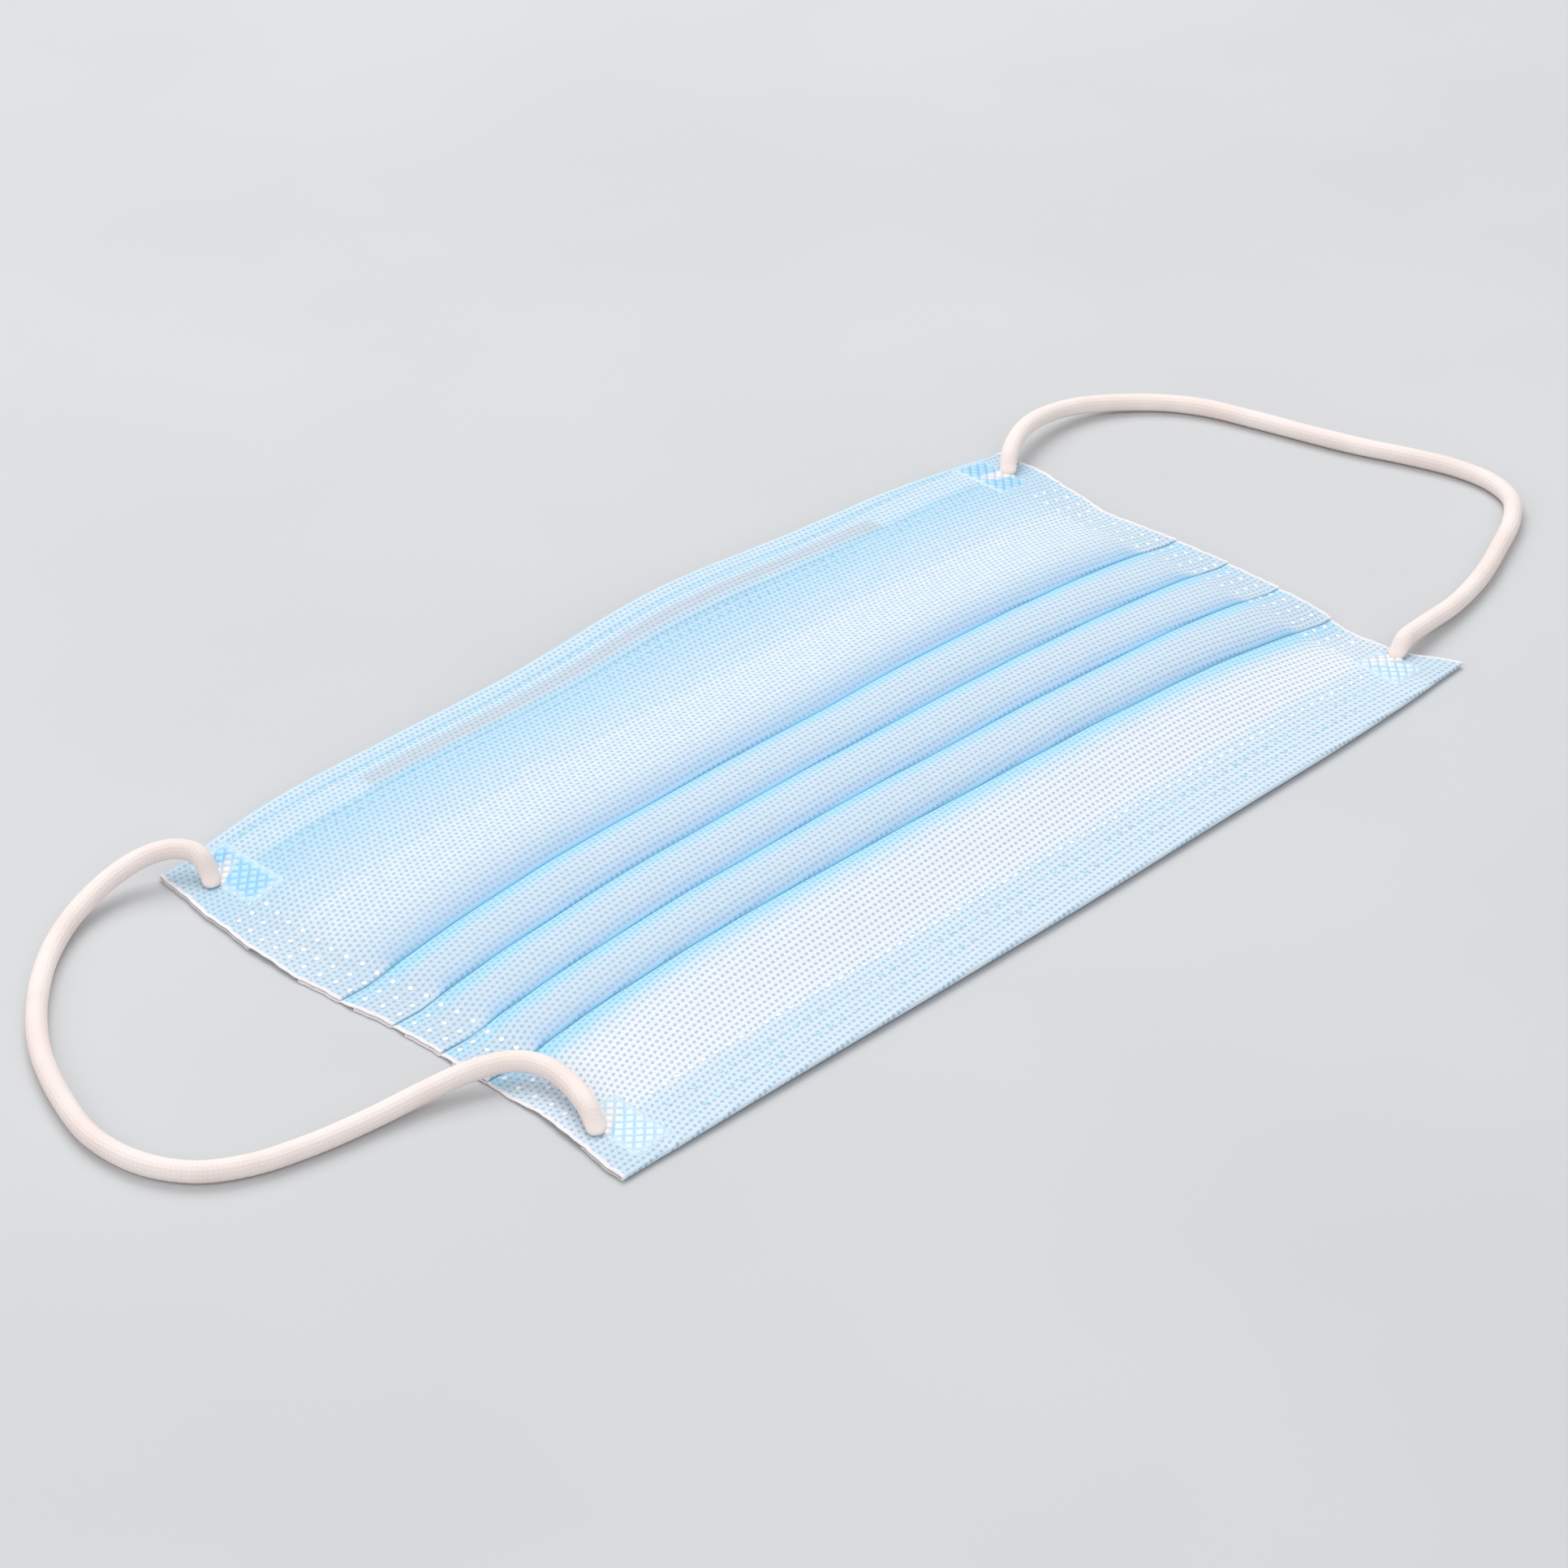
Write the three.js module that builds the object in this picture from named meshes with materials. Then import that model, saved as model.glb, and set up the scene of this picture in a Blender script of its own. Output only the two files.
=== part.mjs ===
// A pleated three-ply face mask lying on a table, outer face up, with two elastic ear loops.
// Millimetres. +X runs along the mask, +Y points to the nose edge, +Z is up, and the table is z = 0.

import * as THREE from 'three';

// ---------------------------------------------------------------- driving dimensions

const LENGTH = 175; // along the pleats
const WIDTH = 96; // nose edge to chin edge, with the pleats closed
const EDGE_BOW = 0.8; // how far the long edges swell at mid length
const SEAM_LINE = 80; // the side seams hold the plies flat outside this distance from the middle
const PLY_WALL = 1.0; // the three bonded plies, at a single layer
const PLEAT_WALL = 1.2; // the pleats where the side seams press them
const PLEAT_PUFF = 1.0; // how much higher a pleat's crest stands at mid length
const PLEAT_BOW = 1.0; // how far each pleat's lip moves to the nose side at mid length
const GAP = 0.3; // clear space between neighbouring pieces

const BRIDGE = { x: 7, height: 2.3, spread: 17, from: 22 }; // the bump bent over the nose
const NOSE_HEM = { halfLength: 73, inner: 25.5, outer: 47.3, wall: 1.0 };
const CHIN_HEM = { halfLength: 66, inner: -38, outer: -47.3 };
const NOSE_WIRE = { x: -2, length: 105, y: 41.2, width: 3.2, height: 0.9 };
const LOOP_WELD = { wall: 0.5, gap: 0.55 }; // the plates clear the panel's facets by their gap
const LOOP = { diameter: 2.8, sides: 8, steps: 76 };

// The four pleat lips, which run a little askew: where each meets the left and the right side seam.
const PLEATS = [
  { name: 'first', left: 7.5, right: 6.1 },
  { name: 'second', left: -1.7, right: -4.2 },
  { name: 'third', left: -10.8, right: -14.8 },
  { name: 'fourth', left: -19.6, right: -25.8 },
];

// The cut ends of the mask, from nose to chin: how far the left and right ends draw in.
const END_INSETS = [
  { y: 48.0, left: 1.5, right: 0.8 },
  { y: 38.0, left: 0.3, right: 0.0 },
  { y: 28.0, left: 0.0, right: 1.6 },
  { y: 19.0, left: 0.0, right: 3.5 },
  { y: 7.0, left: 1.0, right: 2.4 },
  { y: -3.0, left: 2.2, right: 2.1 },
  { y: -20.0, left: 2.7, right: 2.7 },
  { y: -32.0, left: 3.0, right: 4.0 },
  { y: -41.0, left: 1.8, right: 3.5 },
  { y: -46.0, left: 1.5, right: 0.2 },
  { y: -48.0, left: 1.5, right: 0.0 },
];

// How the panel's underside stands off the table at mid length, and how squarely it falls to the seams.
const RISE = [
  { y: 48, lift: 2.8, power: 8 },
  { y: 36, lift: 3.2, power: 7 },
  { y: 25, lift: 3.6, power: 6 },
  { y: 8, lift: 3.9, power: 4 },
  { y: -22, lift: 3.9, power: 4 },
  { y: -30, lift: 3.2, power: 5 },
  { y: -38, lift: 1.7, power: 8 },
  { y: -48, lift: 1.7, power: 8 },
];

// One strip between two lips, from the groove it comes out of to its own lip: t is the share of its
// width, and puff is the share of the crest's height.
const STRIP = [
  { t: 0.0, puff: 0.0 },
  { t: 0.12, puff: 0.6 },
  { t: 0.35, puff: 1.0 },
  { t: 0.7, puff: 1.0 },
  { t: 0.92, puff: 0.75 },
  { t: 1.0, puff: 0.35 },
];
const GROOVE_STEP = 0.25; // a groove lies this far beyond the lip that covers it

// The nose panel down to the first lip, and the chin panel away from the fourth.
const NOSE_PANEL = [47.2, 44.5, 41.2, 37.5, 33.5, 29.5, 25, 20, 15];
const NOSE_PANEL_LIP = [
  { beyond: 4, puff: 0.8 },
  { beyond: 1.5, puff: 1.0 },
  { beyond: 0.4, puff: 0.75 },
  { beyond: 0, puff: 0.35 },
];
const CHIN_PANEL_LIP = [
  { beyond: -GROOVE_STEP, puff: 0 },
  { beyond: -1.4, puff: 0.6 },
  { beyond: -3.2, puff: 1.0 },
  { beyond: -6, puff: 0.8 },
];
const CHIN_PANEL = [-35, -38, -43, -47.2];

// Where the ear loops are welded on, as plates that lie on the outer face.
const LOOP_WELDS = [
  { name: 'nose_left', x: -77.0, y: 41.5, width: 5.4, depth: 8 },
  { name: 'nose_right', x: 75.8, y: 40.8, width: 5.4, depth: 8 },
  { name: 'chin_left', x: -76.4, y: -40.6, width: 5.4, depth: 11 },
  { name: 'chin_right', x: 76.0, y: -41.0, width: 5.4, depth: 10 },
];

// The ear loops' centrelines, [x, y, z] from the nose weld to the chin weld.
const LEFT_ROUTE = [
  [-83.0, 39.2, 2.8],
  [-82.0, 41.9, 3.6],
  [-82.3, 44.4, 4.5],
  [-84.4, 46.6, 4.9],
  [-88.0, 48.2, 4.5],
  [-92.6, 48.8, 3.5],
  [-98.4, 47.9, 2.4],
  [-104.0, 45.6, 1.7],
  [-110.4, 41.0, 1.5],
  [-117.5, 33.4, 1.5],
  [-122.8, 25.2, 1.5],
  [-126.6, 15.6, 1.5],
  [-128.6, 6.6, 1.5],
  [-127.6, -1.8, 1.5],
  [-123.9, -8.2, 1.5],
  [-118.2, -12.1, 1.5],
  [-110.4, -14.5, 1.5],
  [-101.4, -16.0, 1.6],
  [-93.0, -17.3, 2.2],
  [-86.4, -19.1, 3.0],
  [-81.5, -21.7, 3.2],
  [-79.5, -25.3, 3.2],
  [-79.6, -30.0, 3.2],
  [-81.0, -34.9, 3.1],
  [-82.6, -39.0, 2.8],
];
const RIGHT_ROUTE = [
  [80.8, 38.6, 2.9],
  [83.6, 40.9, 3.4],
  [87.8, 43.4, 3.9],
  [93.6, 45.6, 3.8],
  [100.6, 46.4, 3.1],
  [107.4, 45.2, 2.3],
  [113.4, 42.0, 1.7],
  [118.3, 37.4, 1.5],
  [122.0, 31.4, 1.5],
  [124.6, 23.0, 1.5],
  [127.0, 13.8, 1.5],
  [129.6, 4.8, 1.5],
  [132.7, -3.4, 1.5],
  [135.0, -11.0, 1.5],
  [135.3, -18.2, 1.5],
  [133.0, -23.8, 1.5],
  [127.8, -27.9, 1.5],
  [119.4, -31.6, 1.5],
  [109.6, -35.2, 1.5],
  [99.6, -37.5, 1.7],
  [91.0, -38.4, 2.3],
  [84.8, -39.3, 2.9],
  [80.8, -40.2, 2.9],
];

// ---------------------------------------------------------------- materials

function cloth(color, roughness) {
  return new THREE.MeshStandardMaterial({ color, roughness, metalness: 0 });
}

const materials = {
  panel: cloth('#cfe5fb', 0.85),
  hem: cloth('#a9d6f7', 0.85),
  wire: new THREE.MeshStandardMaterial({ color: '#d9d9e0', roughness: 0.5, metalness: 0 }),
  weld: new THREE.MeshStandardMaterial({ color: '#e4f2fb', roughness: 0.4, metalness: 0 }),
  loop: cloth('#f5e9e4', 0.9),
};

// ---------------------------------------------------------------- the mask's surface

// Reads a column of a table at y, easing from row to row.
function column(table, y, key) {
  const next = table.findIndex((row) => row.y <= y);
  if (next === 0) return table[0][key];
  if (next < 0) return table[table.length - 1][key];
  const upper = table[next - 1];
  const lower = table[next];
  const share = THREE.MathUtils.smoothstep(upper.y - y, 0, upper.y - lower.y);
  return THREE.MathUtils.lerp(upper[key], lower[key], share);
}

// 1 at mid length, falling to 0 at the side seams and flat beyond them.
function fullness(x, power) {
  return 1 - Math.min(1, Math.abs(x) / SEAM_LINE) ** power;
}

function underside(x, y) {
  const arch = Math.exp(-(((x - BRIDGE.x) / BRIDGE.spread) ** 2));
  const nearNose = THREE.MathUtils.smoothstep(y, BRIDGE.from, WIDTH / 2);
  const lift = column(RISE, y, 'lift') * fullness(x, column(RISE, y, 'power'));
  return lift + BRIDGE.height * arch * nearNose * fullness(x, 8);
}

function leftEnd(y) {
  return -LENGTH / 2 + column(END_INSETS, y, 'left');
}

function rightEnd(y) {
  return LENGTH / 2 - column(END_INSETS, y, 'right');
}

// The y of a pleat's lip at x.
function lipLine(pleat, x) {
  const share = (x + LENGTH / 2) / LENGTH;
  return THREE.MathUtils.lerp(pleat.left, pleat.right, share) + PLEAT_BOW * fullness(x, 4);
}

// Every row of the panel from nose to chin: its y at x, its share of the crest, and its wall.
function panelRows() {
  const rows = [];
  for (const y of NOSE_PANEL) {
    const bow = y === NOSE_PANEL[0] ? EDGE_BOW : 0;
    rows.push({ at: (x) => y + bow * fullness(x, 8), puff: 0, wall: PLY_WALL });
  }
  for (const { beyond, puff } of NOSE_PANEL_LIP) {
    rows.push({ at: (x) => lipLine(PLEATS[0], x) + beyond, puff, wall: PLEAT_WALL });
  }
  for (let i = 1; i < PLEATS.length; i++) {
    for (const { t, puff } of STRIP) {
      const at = (x) => {
        const groove = lipLine(PLEATS[i - 1], x) - GROOVE_STEP;
        return THREE.MathUtils.lerp(groove, lipLine(PLEATS[i], x), t);
      };
      rows.push({ at, puff, wall: PLEAT_WALL });
    }
  }
  for (const { beyond, puff } of CHIN_PANEL_LIP) {
    rows.push({ at: (x) => lipLine(PLEATS[3], x) + beyond, puff, wall: PLEAT_WALL });
  }
  for (const y of CHIN_PANEL) {
    const bow = y === CHIN_PANEL[CHIN_PANEL.length - 1] ? -EDGE_BOW : 0;
    rows.push({ at: (x) => y + bow * fullness(x, 8), puff: 0, wall: PLY_WALL });
  }
  return rows;
}

// ---------------------------------------------------------------- builders

// A closed sheet: a box whose grid of points is moved to place(u, row, isTop).
function sheet(columns, rows, place) {
  const geometry = new THREE.BoxGeometry(1, 1, 1, columns, rows, 1);
  const points = geometry.getAttribute('position');
  for (let i = 0; i < points.count; i++) {
    const u = points.getX(i) + 0.5;
    const row = Math.round((0.5 - points.getY(i)) * rows);
    const { x, y, z } = place(u, row, points.getZ(i) > 0);
    points.setXYZ(i, x, y, z);
  }
  geometry.computeVertexNormals();
  return geometry;
}

// A patch that follows the mask between two x and through a list of y, with its own two faces.
function patch(columns, fromX, toX, ys, lowFace, highFace) {
  return sheet(columns, ys.length - 1, (u, row, isTop) => {
    const x = THREE.MathUtils.lerp(fromX, toX, u);
    const y = ys[row];
    return { x, y, z: isTop ? highFace(x, y) : lowFace(x, y) };
  });
}

function named(name, geometry, material) {
  const mesh = new THREE.Mesh(geometry, material.clone());
  mesh.name = name;
  return mesh;
}

// ---------------------------------------------------------------- the pieces

function pleatedPanel() {
  const rows = panelRows();
  const geometry = sheet(36, rows.length - 1, (u, index, isTop) => {
    const { at, puff, wall } = rows[index];
    const y = at(THREE.MathUtils.lerp(-LENGTH / 2, LENGTH / 2, u));
    const x = THREE.MathUtils.lerp(leftEnd(y), rightEnd(y), u);
    const low = underside(x, y);
    return { x, y, z: isTop ? low + wall + puff * PLEAT_PUFF * fullness(x, 4) : low };
  });
  return named('pleated_panel', geometry, materials.panel);
}

// How far the nose hem stands off the panel to leave room for the wire.
function wirePocket(x, y) {
  const along = 1 - THREE.MathUtils.smoothstep(Math.abs(x - NOSE_WIRE.x), NOSE_WIRE.length / 2 + 1, 60);
  const across = 1 - THREE.MathUtils.smoothstep(Math.abs(y - NOSE_WIRE.y), NOSE_WIRE.width / 2 + GAP, 4);
  return (NOSE_WIRE.height + GAP) * along * across;
}

// The turned-in outer ply along the nose edge, which closes the wire's pocket from below.
function noseHem() {
  const { halfLength, inner, outer, wall } = NOSE_HEM;
  const nearWire = [4.2, 2, 0, -2, -4.2].map((off) => NOSE_WIRE.y + off);
  const ys = [outer, ...nearWire, 32, inner];
  const high = (x, y) => underside(x, y) - GAP - wirePocket(x, y);
  const low = (x, y) => high(x, y) - wall;
  return named('nose_hem', patch(36, -halfLength, halfLength, ys, low, high), materials.hem);
}

// The turned-in outer ply along the chin edge, lying on the table.
function chinHem() {
  const { halfLength, inner, outer } = CHIN_HEM;
  const high = (x, y) => underside(x, y) - GAP;
  const geometry = patch(26, -halfLength, halfLength, [inner, -42.5, outer], () => 0, high);
  return named('chin_hem', geometry, materials.hem);
}

function noseWire() {
  const { x, length, y, width, height } = NOSE_WIRE;
  const high = (px, py) => underside(px, py) - GAP;
  const low = (px, py) => high(px, py) - height;
  const ys = [y + width / 2, y - width / 2];
  return named('nose_wire', patch(26, x - length / 2, x + length / 2, ys, low, high), materials.wire);
}

function loopWeld({ name, x, y, width, depth }) {
  const low = (px, py) => underside(px, py) + PLY_WALL + LOOP_WELD.gap;
  const high = (px, py) => low(px, py) + LOOP_WELD.wall;
  const ys = [0.5, 0.17, -0.17, -0.5].map((share) => y + share * depth);
  const geometry = patch(3, x - width / 2, x + width / 2, ys, low, high);
  return named(`loop_weld_${name}`, geometry, materials.weld);
}

function earLoop(side, route) {
  const curve = new THREE.CatmullRomCurve3(route.map((point) => new THREE.Vector3(...point)));
  const section = new THREE.Shape();
  for (let i = 0; i < LOOP.sides; i++) {
    const angle = (i / LOOP.sides) * Math.PI * 2;
    const x = (Math.cos(angle) * LOOP.diameter) / 2;
    const y = (Math.sin(angle) * LOOP.diameter) / 2;
    if (i === 0) section.moveTo(x, y);
    else section.lineTo(x, y);
  }
  section.closePath();
  const geometry = new THREE.ExtrudeGeometry(section, { steps: LOOP.steps, extrudePath: curve });
  return named(`ear_loop_${side}`, geometry, materials.loop);
}

// ---------------------------------------------------------------- the assembly

const mask = new THREE.Group();
mask.add(pleatedPanel(), noseHem(), chinHem(), noseWire());
for (const weld of LOOP_WELDS) mask.add(loopWeld(weld));
mask.add(earLoop('left', LEFT_ROUTE), earLoop('right', RIGHT_ROUTE));

export default mask;
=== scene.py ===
# %% [markdown]
# # A pleated face mask, modelled the way it is made
#
# A disposable mask starts as one wide strip of bonded nonwoven plies. A machine folds pleats into it,
# turns the long edges in over a plastic-coated wire, cuts it to length, presses the two ends flat with
# rows of small hot spots, and welds an elastic loop to each end. This lesson goes nearly the same way.
# The loops come first, because they need nothing from the rest. Then the cut sheet is laid out flat,
# folded row by row and given its thickness, and the hems, the wire and the small welds are added. Sizes
# are in millimetres and become metres through one factor.

# %% Load the frame
import math

import bpy
import numpy as np
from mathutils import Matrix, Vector, noise
from mathutils.bvhtree import BVHTree


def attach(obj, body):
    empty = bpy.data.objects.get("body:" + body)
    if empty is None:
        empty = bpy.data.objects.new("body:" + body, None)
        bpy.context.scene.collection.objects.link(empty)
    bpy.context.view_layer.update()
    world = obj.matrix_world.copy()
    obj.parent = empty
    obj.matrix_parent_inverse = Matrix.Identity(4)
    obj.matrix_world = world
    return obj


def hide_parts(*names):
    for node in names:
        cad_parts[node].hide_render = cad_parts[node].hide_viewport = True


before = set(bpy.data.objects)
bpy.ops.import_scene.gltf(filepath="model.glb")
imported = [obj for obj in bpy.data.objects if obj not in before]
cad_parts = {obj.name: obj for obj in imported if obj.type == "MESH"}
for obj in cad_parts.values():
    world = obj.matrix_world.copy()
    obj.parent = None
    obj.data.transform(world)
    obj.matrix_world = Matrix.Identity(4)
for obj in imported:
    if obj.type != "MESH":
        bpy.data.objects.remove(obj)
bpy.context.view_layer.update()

MM = 0.001

# %% [markdown]
# ## Camera
#
# The camera stands over the chin-left corner and looks down at about a third of a right angle. A long
# lens keeps the far corner nearly as large as the near one, as in a catalogue picture. A short lens
# close by would frame the mask as well, but its near corner would look swollen.

# %% Camera
AZIMUTH, ELEVATION, DISTANCE = math.radians(-45.2), math.radians(33.7), 577.2 * MM
AIM = Vector((-7.3, 2.6, 0.0)) * MM
LENS = 91.3  # millimetres of focal length on a 36 mm wide sensor

towards_camera = Vector((
    math.sin(AZIMUTH) * math.cos(ELEVATION),
    -math.cos(AZIMUTH) * math.cos(ELEVATION),
    math.sin(ELEVATION),
))
bpy.ops.object.camera_add(location=AIM + towards_camera * DISTANCE)
camera = bpy.context.object
camera.name = "catalogue_camera"
camera.rotation_euler = (-towards_camera).to_track_quat("-Z", "Y").to_euler()
camera.data.lens = LENS
camera.data.sensor_width = 36
camera.data.clip_start = 10 * MM
bpy.context.scene.camera = camera
print("camera at", [round(c / MM) for c in camera.location], "mm")

# %% [markdown]
# ## Small helpers for materials
#
# A material is a small network of nodes. It could be wired by hand in the shader editor. The cloth here
# needs dozens of nodes, so a few short functions add them: one turns a hex colour into the linear light
# that Blender works in, and the others add a node, a sum, an eased step or a mix of two colours.

# %% Node helpers
def linear(code):
    """An sRGB hex colour as linear red, green, blue and an alpha of 1."""
    channels = [int(code[i:i + 2], 16) / 255 for i in (1, 3, 5)]
    return tuple(c / 12.92 if c <= 0.04045 else ((c + 0.055) / 1.055) ** 2.4 for c in channels) + (1.0,)


def add(tree, kind, links=None, values=None, **settings):
    """Adds a node, sets it, links its inputs to other nodes' outputs and fills in plain values."""
    made = tree.nodes.new(kind)
    for name, value in settings.items():
        setattr(made, name, value)
    for name, value in (values or {}).items():
        made.inputs[name].default_value = value
    for name, output in (links or {}).items():
        tree.links.new(output, made.inputs[name])
    return made


def maths(tree, operation, first, second=None, third=None):
    """A Math node on numbers or outputs; gives its output."""
    made = add(tree, "ShaderNodeMath", operation=operation)
    for socket, given in zip(made.inputs, (first, second, third)):
        if isinstance(given, bpy.types.NodeSocket):
            tree.links.new(given, socket)
        elif given is not None:
            socket.default_value = given
    return made.outputs[0]


def ramp(tree, value, low, high, start=0.0, end=1.0):
    """Eases from start to end as value goes from low to high."""
    made = add(tree, "ShaderNodeMapRange", {"Value": value}, interpolation_type="SMOOTHSTEP")
    for name, number in (("From Min", low), ("From Max", high), ("To Min", start), ("To Max", end)):
        made.inputs[name].default_value = number
    return made.outputs["Result"]


def blend_colours(tree, share, first, second, mode="MIX"):
    """Mixes two colours, each a hex code or an output, by a share that is a number or an output."""
    made = add(tree, "ShaderNodeMix", data_type="RGBA", blend_type=mode)
    for socket, given in ((made.inputs[0], share), (made.inputs[6], first), (made.inputs[7], second)):
        if isinstance(given, bpy.types.NodeSocket):
            tree.links.new(given, socket)
        else:
            socket.default_value = linear(given) if isinstance(given, str) else given
    return made.outputs[2]


def new_material(name):
    material = bpy.data.materials.new(name)
    material.use_nodes = True
    return material, material.node_tree, material.node_tree.nodes["Principled BSDF"]


print("middle grey #808080 is", round(linear("#808080")[0], 3), "in linear light")

# %% [markdown]
# ## Table and light
#
# The table is one pale matte plane with a very faint mottling. The main light is a broad soft panel
# above and behind the mask, so that each fold's far flank is bright and its near lip is shaded. Weaker
# panels at the left and on the camera's side, and an even sky, fill the shadows. One small strong lamp
# would be simpler, but its hard shadows would hide the soft pleats.

# %% Table and lights
TABLE_DROP = 0.05 * MM  # the table lies a hair under the mask's lowest threads


def matte_table():
    """Sprayed board: a pale matte coat with the faintest mottling."""
    material, tree, shader = new_material("sprayed_matte_board")
    place = add(tree, "ShaderNodeTexCoord").outputs["Object"]
    mottling = add(tree, "ShaderNodeTexNoise", {"Vector": place}, {"Scale": 9.0, "Detail": 3.0})
    share = ramp(tree, mottling.outputs["Fac"], 0.3, 0.7)
    tree.links.new(blend_colours(tree, share, "#cbcccd", "#cfd0d1"), shader.inputs["Base Color"])
    shader.inputs["Roughness"].default_value = 0.9
    shader.inputs["Specular IOR Level"].default_value = 0.2
    return material


bpy.ops.mesh.primitive_plane_add(size=8, location=(0, 0, -TABLE_DROP))
table = bpy.context.object
table.name = "table"
table.data.materials.append(matte_table())

LIGHTS = [
    # name, from (metres), size (metres), power (watts)
    ("back_softbox", (0.30, 0.55, 1.00), 0.9, 8.6),
    ("left_softbox", (-0.95, 0.15, 0.75), 0.9, 3.2),
    ("camera_fill", (-0.25, -0.95, 0.9), 1.2, 4.6),
]


def softbox(name, place, size, power):
    bpy.ops.object.light_add(type="AREA", location=place)
    lamp = bpy.context.object
    lamp.name = name
    lamp.rotation_euler = (-Vector(place)).to_track_quat("-Z", "Y").to_euler()
    lamp.data.shape = "SQUARE"
    lamp.data.size = size
    lamp.data.energy = power


for light in LIGHTS:
    softbox(*light)

world = bpy.data.worlds.new("even_studio_air")
world.use_nodes = True
world.node_tree.nodes["Background"].inputs["Color"].default_value = linear("#f4f7fb")
world.node_tree.nodes["Background"].inputs["Strength"].default_value = 0.51
bpy.context.scene.world = world
bpy.context.scene.view_settings.view_transform = "Standard"
print(len(LIGHTS), "soft lights and an even sky")

# %% [markdown]
# ## The ear loops
#
# Each loop is a round, soft knitted elastic, 2.8 mm thick. Its two ends are welded to the outer face,
# so it stands up a little out of each weld and then lies on the table. A simulation would let it settle
# wherever it falls. The way it lies is part of how the mask looks, so its route is a list of given points,
# with a smooth curve through all of them.

# %% Ear loop routes
LOOP_DIAMETER = 2.8
LEFT_ROUTE = [
    (-83.0, 39.2, 2.8), (-82.0, 41.9, 3.6), (-82.3, 44.4, 4.5), (-84.4, 46.6, 4.9), (-88.0, 48.2, 4.5),
    (-92.6, 48.8, 3.5), (-98.4, 47.9, 2.4), (-104.0, 45.6, 1.7), (-110.4, 41.0, 1.5), (-117.5, 33.4, 1.5),
    (-122.8, 25.2, 1.5), (-126.6, 15.6, 1.5), (-128.6, 6.6, 1.5), (-127.6, -1.8, 1.5), (-123.9, -8.2, 1.5),
    (-118.2, -12.1, 1.5), (-110.4, -14.5, 1.5), (-101.4, -16.0, 1.6), (-93.0, -17.3, 2.2),
    (-86.4, -19.1, 3.0), (-81.5, -21.7, 3.2), (-79.5, -25.3, 3.2), (-79.6, -30.0, 3.2),
    (-81.0, -34.9, 3.1), (-82.6, -39.0, 2.8),
]
RIGHT_ROUTE = [
    (80.8, 38.6, 2.9), (83.6, 40.9, 3.4), (87.8, 43.4, 3.9), (93.6, 45.6, 3.8), (100.6, 46.4, 3.1),
    (107.4, 45.2, 2.3), (113.4, 42.0, 1.7), (118.3, 37.4, 1.5), (122.0, 31.4, 1.5), (124.6, 23.0, 1.5),
    (127.0, 13.8, 1.5), (129.6, 4.8, 1.5), (132.7, -3.4, 1.5), (135.0, -11.0, 1.5), (135.3, -18.2, 1.5),
    (133.0, -23.8, 1.5), (127.8, -27.9, 1.5), (119.4, -31.6, 1.5), (109.6, -35.2, 1.5), (99.6, -37.5, 1.7),
    (91.0, -38.4, 2.3), (84.8, -39.3, 2.9), (80.8, -40.2, 2.9),
]


def smooth_route(points, step):
    """A centripetal Catmull-Rom curve through the points, walked in even steps of about step."""
    p = np.array(points, float)
    p = np.vstack([2 * p[0] - p[1], p, 2 * p[-1] - p[-2]])
    dense = []
    for a, b, c, d in zip(p[:-3], p[1:-2], p[2:-1], p[3:]):
        t1 = np.linalg.norm(b - a) ** 0.5
        t2 = t1 + np.linalg.norm(c - b) ** 0.5
        t3 = t2 + np.linalg.norm(d - c) ** 0.5
        t = np.linspace(t1, t2, 24, endpoint=False)[:, None]
        ab = a + (b - a) * t / t1
        bc = b + (c - b) * (t - t1) / (t2 - t1)
        cd = c + (d - c) * (t - t2) / (t3 - t2)
        abc, bcd = ab + (bc - ab) * t / t2, bc + (cd - bc) * (t - t1) / (t3 - t1)
        dense.append(abc + (bcd - abc) * (t - t1) / (t2 - t1))
    dense = np.vstack([*dense, p[-2:-1]])
    along = np.r_[0, np.cumsum(np.linalg.norm(np.diff(dense, axis=0), axis=1))]
    even = np.linspace(0, along[-1], max(2, round(along[-1] / step)) + 1)
    return np.stack([np.interp(even, along, dense[:, i]) for i in range(3)], 1), along[-1]


left_line, left_length = smooth_route(LEFT_ROUTE, 0.32)
right_line, right_length = smooth_route(RIGHT_ROUTE, 0.32)
print(f"ear loops: left {left_length:.1f} mm, right {right_length:.1f} mm")

# %% [markdown]
# ## The knitted finish
#
# Fine ribs run along the elastic and rows of stitches cross them. The ribs are shaped in the mesh
# further down. A stitch is too small for that, so it is a bump in the material, on a map that runs round
# the cord and along it. Sheen makes the off-white yarn look a little furry at its outline.

# %% Knitted elastic
WALES = 16  # ribs of knit round the cord
COURSE = 0.62  # one row of stitches along the cord


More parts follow.
